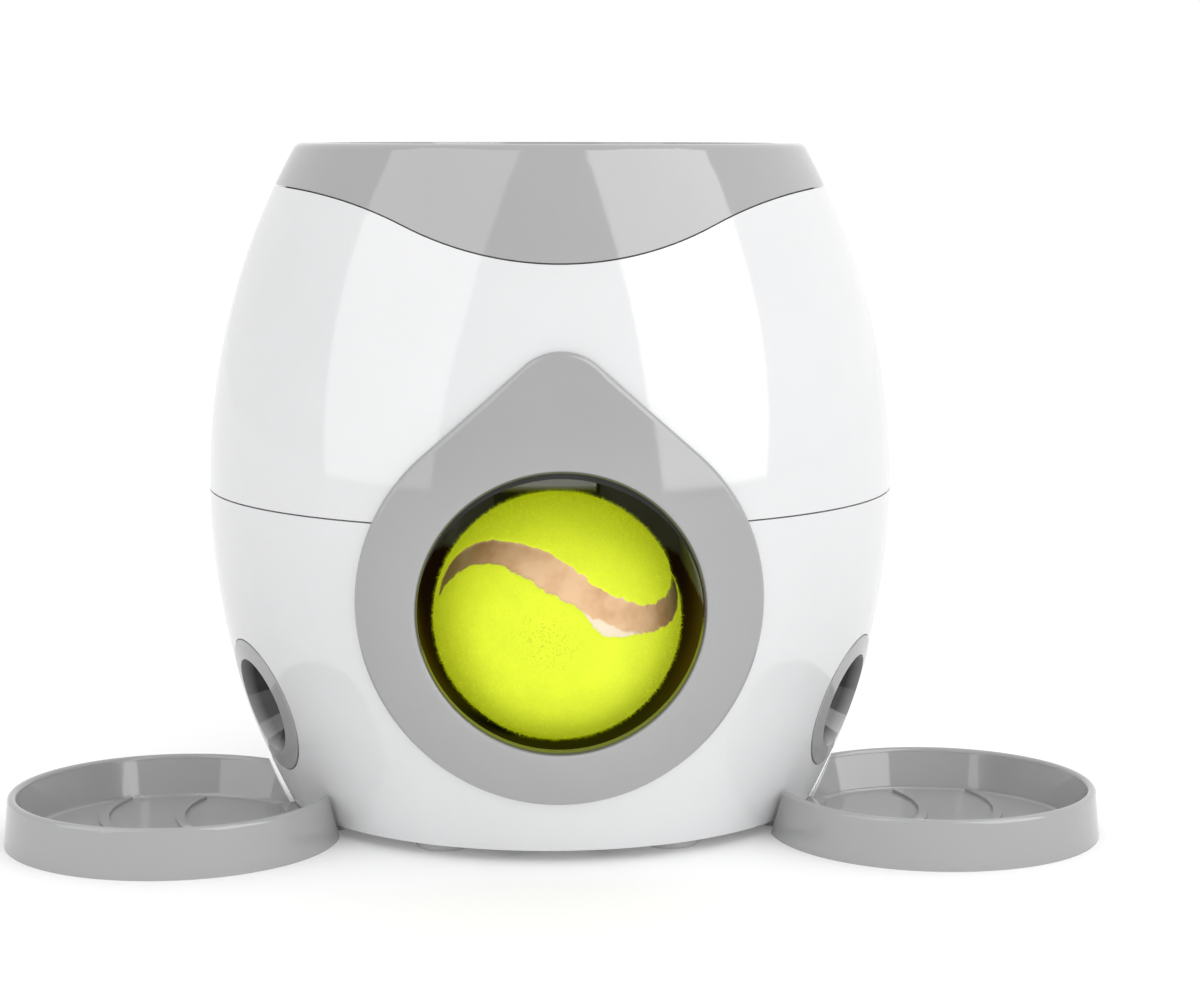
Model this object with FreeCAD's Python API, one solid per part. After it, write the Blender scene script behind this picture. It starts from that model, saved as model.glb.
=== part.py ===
"""Gravity fetch toy: a ball dropped in at the top turns a dosing wheel on its way down,
rolls out of the front, and a portion of treats falls into each side bowl.

Millimetres, Z up. The origin is on the barrel's axis at floor level and the ball
comes out towards -Y. The right side is +X.
"""
import FreeCAD, Part
import math
import os
from FreeCAD import Vector

# ---- barrel housing ----
BODY_RADIUS = 95.0            # at the seam, where the barrel is widest
BODY_HEIGHT = 185.0           # floor to the flat land on top
PROFILE_RADIUS = 190.0        # arc of the barrel's side
SEAM_SHARE = 0.49             # seam between the two shells, as a share of the height
SHELL_WALL = 2.5
SHADOW_GAP = 0.4              # visible line between neighbouring mouldings
LIP_THICKNESS = 1.7           # locating lips inside the seams
LIP_REACH = 3.6               # how far a lip stands past its seam
LIP_ROOT = 6.0                # how far a lip is joined to its own wall
LIP_CLEARANCE = 0.3

# ---- top cover ----
WAVE_TOP_GAP = 11.3           # land down to the wavy edge's highest point, at the sides
WAVE_DEPTH = 18.2             # from there down to its lowest, front and back
WAVE_SIDE_GAP = 16.0          # widest part of the housing in to that highest point
TOP_EDGE_ROUND = 3.0
LAND_WIDTH = 4.0              # flat ring round the mouth
FUNNEL_WALL = 2.4
FUNNEL_DROP = 19.0            # land to throat
FUNNEL_SAG = 3.2              # how far the funnel's curve hangs below its chord
COLLAR_LENGTH = 6.0

# ---- ball and its way through ----
BALL_RADIUS = 32.5
FELT_THICKNESS = 2.7
CORE_WALL = 3.3
BALL_REST_DEPTH = 38.0        # ball's centre behind the widest part of the housing
BALL_REST_GAP = 0.3
WAY_CLEARANCE = 4.0           # tube and tunnel bore over the ball's radius
WAY_WALL = 2.0
TUNNEL_AXIS_HEIGHT = 66.2
RAMP_RIM_RISE = 3.3           # rim of the elbow over the tunnel's roof
SOCKET_HEIGHT = 5.0
SOCKET_WALL = 1.5

# ---- front bezel ----
MOUTH_RADIUS = 36.2
MOUTH_HEIGHT = 68.4
MOUTH_ROUND = 1.2
BEZEL_RADIUS = 52.0
BEZEL_HEIGHT = 69.5           # centre of the bezel's round part
BEZEL_APEX = 134.3
BEZEL_APEX_ROUND = 14.0
BEZEL_PROUD = 2.0
BEZEL_EDGE_ROUND = 1.7
TRIM_SEAT = 0.15              # glue line under bezel and outlet rings
TRIM_COLLAR_WALL = 2.5
TRIM_HOLE_CLEARANCE = 0.5

# ---- treat outlets and chutes ----
OUTLET_AZIMUTH = 66.5         # from the front, to either side
OUTLET_HEIGHT = 34.2
OUTLET_RIM_RADIUS = 18.8
OUTLET_MOUTH_RADIUS = 13.5    # at the face, from where the hole narrows to the chute's bore
OUTLET_PROUD = 0.3
OUTLET_EDGE_ROUND = 0.25
OUTLET_RECESS = 1.2           # pocket in the shell that the flange lies in
OUTLET_RECESS_GAP = 0.3       # round the flange
OUTLET_DEPTH = 7.0            # housing's outer surface to the collar's inner end
OUTLET_COLLAR_WALL = 1.4
CHUTE_BORE = 11.0
CHUTE_WALL = 1.8
CHUTE_WAY_GAP = 0.94          # sloping run past the ball's drop
CHUTE_KNEE = 5.5              # straight drop before the run
OUTLET_REACH = 24.0           # outlet's hole and flange, cut to the housing from this length

# ---- dosing wheel ----
WHEEL_WAY_REACH = 22.5        # how far the paddles reach into the ball's way
WHEEL_BACK_GAP = 9.0          # paddle tips to the widest part of the housing
WHEEL_HALF_WIDTH = 14.0
WHEEL_CLEARANCE = 1.5
PADDLE_COUNT = 4
PADDLE_THICKNESS = 2.6
HUB_RADIUS = 6.5
AXLE_RADIUS = 3.0
AXLE_OVERHANG = 1.0
RUNNING_CLEARANCE = 0.05
DRUM_RADIUS = 17.0
DRUM_WHEEL_GAP = 14.5         # between the paddles' slot and a drum
DRUM_CLEARANCE = 0.4
DRUM_WEB = 1.8                # plain discs at both ends of a drum
POCKET_RADIUS = 7.2
POCKET_COUNT = 4
HOUSING_WALL = 2.0
HOUSING_BODY_GAP = 5.8        # housing's outer corner to the widest part of the body
HOUSING_DECK_GAP = 0.1
INLET_END_GAP = 2.8           # treat inlet in from both ends of a drum
INLET_WIDTH = 14.0
BUSH_RADIUS = 5.0
BUSH_LENGTH = 5.0
BUSH_SEAT_CLEARANCE = 0.05

# ---- deck and hopper ----
DECK_THICKNESS = 2.5
DECK_DROP = 0.15              # top of the deck under the seam
FIT_GAP = 0.3                 # loose fit between mouldings
FLOOR_THICKNESS = 2.5
VALLEY_RISE = 25.0            # low line of the hopper floor over the wheel's axis
FRONT_SLOPE = 6.0
REAR_SLOPE = 20.0
HOOD_WALL = 1.8
GUSSET_WIDTH = 2.5
GUSSET_REACH = 15.0           # from the widest part of the housing inwards
GUSSET_DEPTH = 14.0
GUSSET_AZIMUTHS = (30.0, 100.0, 150.0)

# ---- base ----
FOOT_HEIGHT = 3.4
FOOT_RADIUS = 7.5
BASE_THICKNESS = 2.5
FOOT_AZIMUTHS = (29.5, 141.6)      # from the front, to either side, as all azimuths here
FOOT_EDGE_GAP = 2.1
BASE_SCREW_AZIMUTHS = (10.6, 107.9)
BASE_SCREW_EDGE_GAP = 1.3
RAMP_SCREW_X = 20.0                # rear pair, beside the drop
RAMP_SCREW_FOOT_GAP = 0.6          # heads of the front pair to the front feet
RAMP_SCREW_BEARING = 18.8          # from a front foot inwards, turned towards the back
DECK_SCREW_AZIMUTHS = (70.5, 160.0)
DECK_SCREW_EDGE_GAP = 2.1
SHELL_SCREW_WAY_GAP = 7.5          # beside the tunnel
SHELL_SCREW_WALL_GAP = 2.6
EAR_SLOT_GAP = 2.1                 # inner ear boss to the paddles' slot
EAR_BORE_GAP = 2.8                 # rear ear boss to the hole under the drum
EAR_THICKNESS = 2.5
EAR_BOSS_LENGTH = 7.5
BOSS_RADIUS = 4.2
BOSS_SHOULDER = 2.5           # material under the head in a counterbored boss
BOSS_LENGTH = 11.0
BOSS_WEB = 2.2
SADDLE_HALF_WIDTH = 27.0
SADDLE_THICKNESS = 2.5
SADDLE_TOP_DROP = 18.0        # top of the saddles under the tunnel's axis

# ---- screws ----
SCREW_RADIUS = 1.5
SCREW_HEAD_RADIUS = 2.8
SCREW_HEAD_HEIGHT = 1.6
SCREW_LENGTH = 9.0
SCREW_HOLE_CLEARANCE = 0.15

# ---- bowls ----
BOWL_AZIMUTH = 68.0
BOWL_OUT = 15.82              # bowl's centre outside the widest part of the housing
BOWL_BASE_RADIUS = 44.75
BOWL_RIM_RADIUS = 43.6
BOWL_HEIGHT = 13.1
BOWL_RIM_WIDTH = 2.4
BOWL_FLOOR = 1.8
BOWL_FLOOR_RADIUS = 38.5
BOWL_CORNER_ROUND = 1.0
BOWL_BODY_GAP = 1.2
TONGUE_HALF_WIDTH = 12.0
TONGUE_DEPTH = 24.0           # how far the tongue reaches under the body
TONGUE_ROOT = 3.0             # how far it runs into the bowl's floor
GUIDE_WIDTH = 2.2
GUIDE_GROUND_GAP = 0.6
FLOOR_RIB_CRESTS = (-0.25, 20.45)  # outwards from the bowl's centre
FLOOR_RIB_BACK = 17.0
FLOOR_RIB_RADIUS = 40.0
FLOOR_RIB_HALF_ANGLE = 27.0
FLOOR_RIB_WIDTH = 2.6
FLOOR_RIB_HEIGHT = 0.8

# ---- sizes that follow from those above ----
SEAM_HEIGHT = BODY_HEIGHT * SEAM_SHARE
WAVE_HIGH = BODY_HEIGHT - WAVE_TOP_GAP
WAVE_LOW = WAVE_HIGH - WAVE_DEPTH
WAVE_HALF_SPAN = BODY_RADIUS - WAVE_SIDE_GAP
WAY_RADIUS = BALL_RADIUS + WAY_CLEARANCE
WAY_OUTER = WAY_RADIUS + WAY_WALL
TUNNEL_FLOOR = TUNNEL_AXIS_HEIGHT - WAY_RADIUS
RAMP_RIM_HEIGHT = TUNNEL_AXIS_HEIGHT + WAY_OUTER + RAMP_RIM_RISE
THROAT_HEIGHT = BODY_HEIGHT - FUNNEL_DROP
TUBE_TOP = THROAT_HEIGHT - FUNNEL_WALL - FIT_GAP
COLLAR_INNER = WAY_OUTER + LIP_CLEARANCE
COLLAR_OUTER = COLLAR_INNER + FUNNEL_WALL
SOCKET_OUTER = COLLAR_INNER + SOCKET_WALL
COLLAR_BOTTOM = TUBE_TOP - COLLAR_LENGTH
BALL_REST_Y = BALL_REST_DEPTH - BODY_RADIUS
BASE_TOP = FOOT_HEIGHT + BASE_THICKNESS
DECK_TOP = SEAM_HEIGHT - DECK_DROP
DECK_BOTTOM = DECK_TOP - DECK_THICKNESS
HOLE_RADIUS = SCREW_RADIUS + SCREW_HOLE_CLEARANCE
HOUSING_BORE = DRUM_RADIUS + DRUM_CLEARANCE
HOUSING_OUTER = HOUSING_BORE + HOUSING_WALL
WHEEL_FRONT_Y = WAY_RADIUS - WHEEL_WAY_REACH
WHEEL_BACK_Y = BODY_RADIUS - WHEEL_BACK_GAP
WHEEL_RADIUS = (WHEEL_BACK_Y - WHEEL_FRONT_Y) / 2
WHEEL_Y = (WHEEL_BACK_Y + WHEEL_FRONT_Y) / 2
WHEEL_HEIGHT = DECK_TOP + HOUSING_OUTER + HOUSING_DECK_GAP
VALLEY_HEIGHT = WHEEL_HEIGHT + VALLEY_RISE
SWEEP_RADIUS = WHEEL_RADIUS + WHEEL_CLEARANCE
SWEEP_HALF_WIDTH = WHEEL_HALF_WIDTH + WHEEL_CLEARANCE
HOUSING_END_X = math.sqrt((BODY_RADIUS - HOUSING_BODY_GAP) ** 2 - (WHEEL_Y + HOUSING_OUTER) ** 2)
DRUM_INNER_X = SWEEP_HALF_WIDTH + DRUM_WHEEL_GAP
DRUM_OUTER_X = HOUSING_END_X - HOUSING_WALL - DRUM_CLEARANCE
DRUM_CENTRE_X = (DRUM_INNER_X + DRUM_OUTER_X) / 2
INLET_LENGTH = DRUM_OUTER_X - DRUM_INNER_X - 2 * INLET_END_GAP
EAR_SCREW_PLACES = ((SWEEP_HALF_WIDTH + BOSS_RADIUS + EAR_SLOT_GAP, WHEEL_Y),
                    (DRUM_CENTRE_X, WHEEL_Y + CHUTE_BORE + BOSS_RADIUS + EAR_BORE_GAP))
BUSH_OUTER_X = HOUSING_END_X + BUSH_LENGTH - HOUSING_WALL
CHUTE_OUTER = CHUTE_BORE + CHUTE_WALL
DECK_INSET = -SHELL_WALL - 2 * LIP_CLEARANCE - LIP_THICKNESS
TRIM_HOLE_RADIUS = MOUTH_RADIUS + TRIM_COLLAR_WALL + TRIM_HOLE_CLEARANCE
OUTLET_HOLE_RADIUS = OUTLET_MOUTH_RADIUS + OUTLET_COLLAR_WALL + TRIM_HOLE_CLEARANCE

MOUTH_BACK_Y = -BODY_RADIUS / 2    # behind the housing's front wall, in front of the drop
FAR = 3 * BODY_RADIUS         # longer than anything in the part
CUT_PAST = 1.0                # how far a cutter runs past the face it cuts
WELD = 0.1                    # how far pieces of one moulding run into each other
EDGE_MATCH = 1e-3             # how near an edge lies to the surface it is picked by

X_AXIS = Vector(1, 0, 0)
Z_AXIS = Vector(0, 0, 1)


# ---- general shapes ----
def box(x_range, y_range, z_range):
    size = [high - low for low, high in (x_range, y_range, z_range)]
    return Part.makeBox(*size, Vector(x_range[0], y_range[0], z_range[0]))


def rod(radius, start, end):
    """Cylinder from one point to another."""
    return Part.makeCylinder(radius, (end - start).Length, start, end - start)


def upright(radius, x, y, bottom, top):
    return Part.makeCylinder(radius, top - bottom, Vector(x, y, bottom), Z_AXIS)


def pipe(outer, bore, start, end):
    along = (end - start).normalize() * CUT_PAST
    return rod(outer, start, end).cut(rod(bore, start - along, end + along))


def line(start, end):
    return Part.LineSegment(start, end).toShape()


def arc(start, middle, end):
    return Part.Arc(start, middle, end).toShape()


def face(edges):
    return Part.Face(Part.Wire(edges))


def closed_path(points):
    return [line(a, b) for a, b in zip(points, points[1:] + points[:1])]


def union(shapes):
    first, *others = shapes
    return first.multiFuse(others).removeSplitter() if others else first


def mirrored(shape):
    """The same piece for the other side of the part."""
    return shape.mirror(Vector(0, 0, 0), X_AXIS)


def both_sides(places):
    return [(side * x, y) for x, y in places for side in (1, -1)]


def loose_group(shapes):
    """Separate solids that share one file."""
    return Part.makeCompound(shapes)


def edges_at_height(shape, height):
    return [e for e in shape.Edges
            if abs(e.BoundBox.ZMin - height) < EDGE_MATCH and abs(e.BoundBox.ZMax - height) < EDGE_MATCH]


# ---- barrel surface ----
def barrel_radius(height, offset=0.0):
    rise = height - SEAM_HEIGHT
    return math.sqrt((PROFILE_RADIUS + offset) ** 2 - rise ** 2) - PROFILE_RADIUS + BODY_RADIUS


def barrel(bottom, top, offset=0.0):
    """Solid barrel whose side lies `offset` outside the housing's outer surface."""
    heights = (bottom, (bottom + top) / 2, top)
    low, middle, high = [Vector(barrel_radius(z, offset), 0, z) for z in heights]
    foot, crown = Vector(0, 0, bottom), Vector(0, 0, top)
    outline = face([line(foot, low), arc(low, middle, high), line(high, crown), line(crown, foot)])
    return outline.revolve(Vector(0, 0, 0), Z_AXIS, 360)


def barrel_ring(bottom, top, outer, inner):
    past = (bottom - CUT_PAST, top + CUT_PAST)
    return barrel(bottom, top, outer).cut(barrel(*past, inner))


def round_place(radius, azimuth):
    """Point in plan at that distance from the axis, `azimuth` degrees from the front."""
    turn = math.radians(azimuth)
    return radius * math.sin(turn), -radius * math.cos(turn)


def foot_places():
    circle = barrel_radius(FOOT_HEIGHT, -SHELL_WALL - FIT_GAP) - FOOT_RADIUS - FOOT_EDGE_GAP
    return [round_place(circle, azimuth) for azimuth in FOOT_AZIMUTHS]


def ramp_screw_places():
    foot_x, foot_y = foot_places()[0]
    apart = FOOT_RADIUS + SCREW_HEAD_RADIUS + RAMP_SCREW_FOOT_GAP
    bearing = math.radians(RAMP_SCREW_BEARING)
    front = foot_x - apart * math.cos(bearing), foot_y + apart * math.sin(bearing)
    return [front, (RAMP_SCREW_X, 0.0)]


def base_screw_places():
    circle = barrel_radius(FOOT_HEIGHT, -SHELL_WALL - FIT_GAP) - BOSS_RADIUS - BASE_SCREW_EDGE_GAP
    return [round_place(circle, azimuth) for azimuth in BASE_SCREW_AZIMUTHS]


def deck_screw_places():
    circle = barrel_radius(DECK_TOP, DECK_INSET) - BOSS_RADIUS - DECK_SCREW_EDGE_GAP
    return [round_place(circle, azimuth) for azimuth in DECK_SCREW_AZIMUTHS]


def shell_screw_places():
    """Beside the tunnel, as far forward as the posts fit inside the foot of the shell."""
    circle = barrel_radius(BASE_TOP, -SHELL_WALL) - BOSS_RADIUS - SHELL_SCREW_WALL_GAP
    beside = WAY_OUTER + SHELL_SCREW_WAY_GAP
    return [(beside, -math.sqrt(circle ** 2 - beside ** 2))]


def radial_web(x, y, bottom, top):
    """Thin wall from a boss out to the housing."""
    distance = math.hypot(x, y)
    web = box((distance, BODY_RADIUS), (-BOSS_WEB / 2, BOSS_WEB / 2), (bottom, top))
    web.rotate(Vector(0, 0, 0), Z_AXIS, math.degrees(math.atan2(y, x)))
    return web.common(barrel(bottom, top, -SHELL_WALL / 2))


def screw_boss(x, y, bottom, top):
    """Post with its web, without the screw hole."""
    post = upright(BOSS_RADIUS, x, y, bottom, top)
    return union([post, radial_web(x, y, bottom, top)])


# ---- wavy edge between the cover and the upper shell ----
def above_wave(shift):
    """Everything above the wavy edge moved up by `shift`, as wide and deep as the part."""
    half_rise = (WAVE_HIGH - WAVE_LOW) / 2
    half_run = WAVE_HALF_SPAN / 2
    bend = (half_run ** 2 + half_rise ** 2) / (2 * half_rise)
    quarter = bend * (1 - math.cos(math.asin(half_run / bend) / 2))
    quarter_run = bend * math.sin(math.asin(half_run / bend) / 2)
    low, high = WAVE_LOW + shift, WAVE_HIGH + shift

    def at(x, z):
        return Vector(x, -FAR, z)

    edges = [line(at(-FAR, high), at(-WAVE_HALF_SPAN, high)),
             arc(at(-WAVE_HALF_SPAN, high), at(quarter_run - WAVE_HALF_SPAN, high - quarter),
                 at(-half_run, low + half_rise)),
             arc(at(-half_run, low + half_rise), at(0, low), at(half_run, low + half_rise)),
             arc(at(half_run, low + half_rise), at(WAVE_HALF_SPAN - quarter_run, high - quarter),
                 at(WAVE_HALF_SPAN, high)),
             line(at(WAVE_HALF_SPAN, high), at(FAR, high)),
             line(at(FAR, high), at(FAR, FAR)),
             line(at(FAR, FAR), at(-FAR, FAR)),
             line(at(-FAR, FAR), at(-FAR, high))]
    return face(edges).extrude(Vector(0, 2 * FAR, 0))


# ---- top cover ----
def funnel():
    """Dished funnel with the collar that slips over the ball tube."""
    land_radius = barrel_radius(BODY_HEIGHT) - TOP_EDGE_ROUND - LAND_WIDTH
    outer_top, inner_top = Vector(land_radius, 0, BODY_HEIGHT), Vector(WAY_RADIUS, 0, THROAT_HEIGHT)
    chord = inner_top - outer_top
    downhill = Vector(-chord.z, 0, chord.x).normalize()
    sag = (outer_top + inner_top) / 2 + downhill * FUNNEL_SAG
    drop = Vector(0, 0, -FUNNEL_WALL)
    rim_side = Vector(land_radius + FUNNEL_WALL, 0, BODY_HEIGHT)
    rim_under = rim_side + drop
    edges = [line(rim_side, outer_top),
             arc(outer_top, sag, inner_top),
             line(inner_top, inner_top + drop),
             arc(inner_top + drop, sag + drop, outer_top + drop),
             line(outer_top + drop, rim_under),
             line(rim_under, rim_side)]
    dish = face(edges).revolve(Vector(0, 0, 0), Z_AXIS, 360)
    collar = pipe(COLLAR_OUTER, COLLAR_INNER, Vector(0, 0, COLLAR_BOTTOM), Vector(0, 0, THROAT_HEIGHT - WELD))
    below_dish = face([line(inner_top + Vector(0, 0, -WELD), Vector(WAY_RADIUS, 0, 0)),
                       line(Vector(WAY_RADIUS, 0, 0), Vector(land_radius, 0, 0)),
                       line(Vector(land_radius, 0, 0), outer_top + Vector(0, 0, -WELD)),
                       arc(outer_top + Vector(0, 0, -WELD), sag + Vector(0, 0, -WELD),
                           inner_top + Vector(0, 0, -WELD))])
    return union([dish, collar.common(below_dish.revolve(Vector(0, 0, 0), Z_AXIS, 360))])


def top_cover():
    body = barrel(WAVE_LOW - CUT_PAST, BODY_HEIGHT)
    body = body.makeFillet(TOP_EDGE_ROUND, edges_at_height(body, BODY_HEIGHT))
    body = body.cut(barrel(0, BODY_HEIGHT - FUNNEL_WALL, -SHELL_WALL))
    mouth = barrel_radius(BODY_HEIGHT) - TOP_EDGE_ROUND - LAND_WIDTH + FUNNEL_WALL / 2
    body = body.cut(upright(mouth, 0, 0, THROAT_HEIGHT, BODY_HEIGHT + CUT_PAST))
    return union([body.common(above_wave(SHADOW_GAP / 2)), funnel()])


# ---- shells ----
def mouth_cutter(radius, height):
    return rod(radius, Vector(0, -FAR, height), Vector(0, MOUTH_BACK_Y, height))


def outlet_frame():
    """Point on the housing at the right-hand outlet, and the direction out of it."""
    azimuth = math.radians(OUTLET_AZIMUTH)
    tilt = math.asin((OUTLET_HEIGHT - SEAM_HEIGHT) / PROFILE_RADIUS)
    sideways, forwards = math.sin(azimuth), -math.cos(azimuth)
    radius = barrel_radius(OUTLET_HEIGHT)
    point = Vector(radius * sideways, radius * forwards, OUTLET_HEIGHT)
    outwards = Vector(math.cos(tilt) * sideways, math.cos(tilt) * forwards, math.sin(tilt))
    return point, outwards


def outlet_rod(radius):
    """Solid on the outlet's axis, through the housing's wall."""
    point, outwards = outlet_frame()
    reach = outwards * OUTLET_REACH
    return rod(radius, point - reach, point + reach)


def outlet_cutter():
    """Hole for the outlet's collar with the pocket for its flange, on both sides."""
    pocket = outlet_rod(OUTLET_RIM_RADIUS + OUTLET_RECESS_GAP)
    pocket = pocket.common(barrel_ring(0, SEAM_HEIGHT, CUT_PAST, -OUTLET_RECESS))
    hole = union([outlet_rod(OUTLET_HOLE_RADIUS), pocket])
    return union([hole, mirrored(hole)])


def wave_lip():
    """Lip of the upper shell that centres the cover."""
    bottom, top = WAVE_LOW - LIP_ROOT - CUT_PAST, WAVE_HIGH + LIP_REACH + CUT_PAST
    inner = -SHELL_WALL - LIP_CLEARANCE - LIP_THICKNESS
    root = barrel_ring(bottom, top, -SHELL_WALL + WELD, inner)
    root = root.common(above_wave(-LIP_ROOT)).cut(above_wave(-SHADOW_GAP / 2))
    lip = barrel_ring(bottom, top, -SHELL_WALL - LIP_CLEARANCE, inner)
    lip = lip.common(above_wave(-LIP_ROOT)).cut(above_wave(LIP_REACH))
    return union([root, lip])


def hopper_gussets():
    """Ribs inside the upper shell that carry the hopper floor."""
    ribs = []
    for azimuth in GUSSET_AZIMUTHS:
        for side in (1, -1):
            rib = box((BODY_RADIUS - GUSSET_REACH, BODY_RADIUS),
                      (-GUSSET_WIDTH / 2, GUSSET_WIDTH / 2), (SEAM_HEIGHT, BODY_HEIGHT))
            rib.rotate(Vector(0, 0, 0), Z_AXIS, -90 + side * azimuth)
            rib = rib.cut(hopper_profile(0, FAR)).common(hopper_profile(-GUSSET_DEPTH, FAR))
            ribs.append(rib.common(barrel(SEAM_HEIGHT, BODY_HEIGHT, -SHELL_WALL + WELD)))
    return ribs


def upper_shell():
    wall = barrel_ring(SEAM_HEIGHT + SHADOW_GAP / 2, WAVE_HIGH + CUT_PAST, 0, -SHELL_WALL)
    wall = wall.cut(above_wave(-SHADOW_GAP / 2))
    bosses = [screw_boss(x, y, DECK_TOP, DECK_TOP + BOSS_LENGTH)
              for x, y in both_sides(shell_screw_places())]
    shell = union([wall, wave_lip()] + hopper_gussets() + trimmed_from_lip(bosses))
    for x, y in both_sides(shell_screw_places()):
        shell = shell.cut(upright(HOLE_RADIUS, x, y, DECK_TOP - CUT_PAST, DECK_TOP + SCREW_LENGTH))
    return shell.cut(mouth_cutter(TRIM_HOLE_RADIUS, MOUTH_HEIGHT))


def trimmed_from_lip(bosses):
    """Keep the upper shell's bosses clear of the lower shell's seam lip."""
    lip_space = barrel_ring(DECK_BOTTOM, SEAM_HEIGHT + LIP_REACH + LIP_CLEARANCE, CUT_PAST, DECK_INSET)
    return [boss.cut(lip_space) for boss in bosses]


def seam_lip():
    inner = -SHELL_WALL - LIP_CLEARANCE - LIP_THICKNESS
    root = barrel_ring(SEAM_HEIGHT - LIP_ROOT, SEAM_HEIGHT - SHADOW_GAP / 2, -SHELL_WALL + WELD, inner)
    lip = barrel_ring(SEAM_HEIGHT - LIP_ROOT, SEAM_HEIGHT + LIP_REACH, -SHELL_WALL - LIP_CLEARANCE, inner)
    return union([root, lip])


def lower_shell():
    wall = barrel_ring(FOOT_HEIGHT, SEAM_HEIGHT - SHADOW_GAP / 2, 0, -SHELL_WALL)
    base_bosses = [screw_boss(x, y, BASE_TOP, BASE_TOP + BOSS_LENGTH)
                   for x, y in both_sides(base_screw_places())]
    deck_bosses = [screw_boss(x, y, DECK_BOTTOM - BOSS_LENGTH, DECK_BOTTOM)
                   for x, y in both_sides(deck_screw_places())]
    posts = [screw_boss(x, y, BASE_TOP, DECK_BOTTOM) for x, y in both_sides(shell_screw_places())]
    shell = union([wall, seam_lip()] + base_bosses + deck_bosses + posts)
    for x, y in both_sides(base_screw_places()):
        shell = shell.cut(upright(HOLE_RADIUS, x, y, BASE_TOP - CUT_PAST, BASE_TOP + SCREW_LENGTH))
    for x, y in both_sides(deck_screw_places()):
        shell = shell.cut(upright(HOLE_RADIUS, x, y, DECK_BOTTOM - SCREW_LENGTH, DECK_BOTTOM + CUT_PAST))
    for x, y in both_sides(shell_screw_places()):
        shell = shell.cut(shell_screw_way(x, y))
    return shell.cut(mouth_cutter(TRIM_HOLE_RADIUS, MOUTH_HEIGHT)).cut(outlet_cutter())


def shell_screw_way(x, y):
    """Deep counterbore for the long reach from below, and the hole through its top."""
    seat = DECK_BOTTOM - BOSS_SHOULDER
    counterbore = upright(SCREW_HEAD_RADIUS + SCREW_HOLE_CLEARANCE, x, y, BASE_TOP - CUT_PAST, seat)
    return union([counterbore, upright(HOLE_RADIUS, x, y, BASE_TOP, DECK_BOTTOM + CUT_PAST)])


# ---- front bezel and outlet rings ----
def teardrop(y_range):
    """Round below, drawn up to a softly rounded point."""
    rise = BEZEL_APEX - BEZEL_APEX_ROUND - BEZEL_HEIGHT
    lean = math.asin((BEZEL_RADIUS - BEZEL_APEX_ROUND) / rise)
    side_x, side_z = math.cos(lean), math.sin(lean)

    def at(radius, centre, x, z):
        return Vector(radius * x, y_range[0], centre + radius * z)

    apex_centre = BEZEL_APEX - BEZEL_APEX_ROUND
    low_left = at(BEZEL_RADIUS, BEZEL_HEIGHT, -side_x, side_z)
    low_right = at(BEZEL_RADIUS, BEZEL_HEIGHT, side_x, side_z)
    high_left = at(BEZEL_APEX_ROUND, apex_centre, -side_x, side_z)
    high_right = at(BEZEL_APEX_ROUND, apex_centre, side_x, side_z)
    edges = [arc(low_left, at(BEZEL_RADIUS, BEZEL_HEIGHT, 0, -1), low_right),
             line(low_right, high_right),
             arc(high_right, at(BEZEL_APEX_ROUND, apex_centre, 0, 1), high_left),
             line(high_left, low_left)]
    return face(edges).extrude(Vector(0, y_range[1] - y_range[0], 0))


def on_barrel(edge, offset):
    """Whether an edge lies on the barrel surface moved out by `offset`."""
    misses = [abs(math.hypot(p.x, p.y) - barrel_radius(p.z, offset)) for p in edge.discretize(5)]
    return max(misses) < EDGE_MATCH


def on_mouth(edge):
    """Whether an edge lies on the bore of the bezel's mouth."""
    misses = [abs(math.hypot(p.x, p.z - MOUTH_HEIGHT) - MOUTH_RADIUS) for p in edge.discretize(5)]
    return max(misses) < EDGE_MATCH


def front_bezel():
    plate = teardrop((-FAR, MOUTH_BACK_Y)).common(barrel(0, BODY_HEIGHT, BEZEL_PROUD))
    plate = plate.cut(barrel(0, BODY_HEIGHT, TRIM_SEAT))
    plate = plate.makeFillet(BEZEL_EDGE_ROUND, [e for e in plate.Edges if on_barrel(e, BEZEL_PROUD)])
    collar = mouth_cutter(MOUTH_RADIUS + TRIM_COLLAR_WALL, MOUTH_HEIGHT)
    collar = collar.common(barrel_ring(0, BODY_HEIGHT, TRIM_SEAT + WELD, -SHELL_WALL - FIT_GAP))
    bezel = union([plate, collar]).cut(mouth_cutter(MOUTH_RADIUS, MOUTH_HEIGHT))
    mouth_edge = [e for e in bezel.Edges if on_barrel(e, BEZEL_PROUD) and on_mouth(e)]
    return bezel.makeFillet(MOUTH_ROUND, mouth_edge)


def outlet_ring():
    """Flush flange and collar, with a hole that narrows to the chute's bore."""
    flange = outlet_rod(OUTLET_RIM_RADIUS)
    flange = flange.common(barrel_ring(0, SEAM_HEIGHT, OUTLET_PROUD, TRIM_SEAT - OUTLET_RECESS))
    flange = flange.makeFillet(OUTLET_EDGE_ROUND, [e for e in flange.Edges if on_barrel(e, OUTLET_PROUD)])
    collar = outlet_rod(OUTLET_MOUTH_RADIUS + OUTLET_COLLAR_WALL)
    collar = collar.common(barrel_ring(0, SEAM_HEIGHT, OUTLET_PROUD - OUTLET_EDGE_ROUND, -OUTLET_DEPTH))
    point, outwards = outlet_frame()
    narrow_end = point - outwards * OUTLET_DEPTH
    taper = (OUTLET_MOUTH_RADIUS - CHUTE_BORE) / OUTLET_DEPTH
    past = OUTLET_MOUTH_RADIUS + taper * CUT_PAST
    funnel_hole = Part.makeCone(CHUTE_BORE, past, OUTLET_DEPTH + CUT_PAST, narrow_end, outwards)
    return union([flange, collar]).cut(union([outlet_rod(CHUTE_BORE), funnel_hole]))


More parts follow.
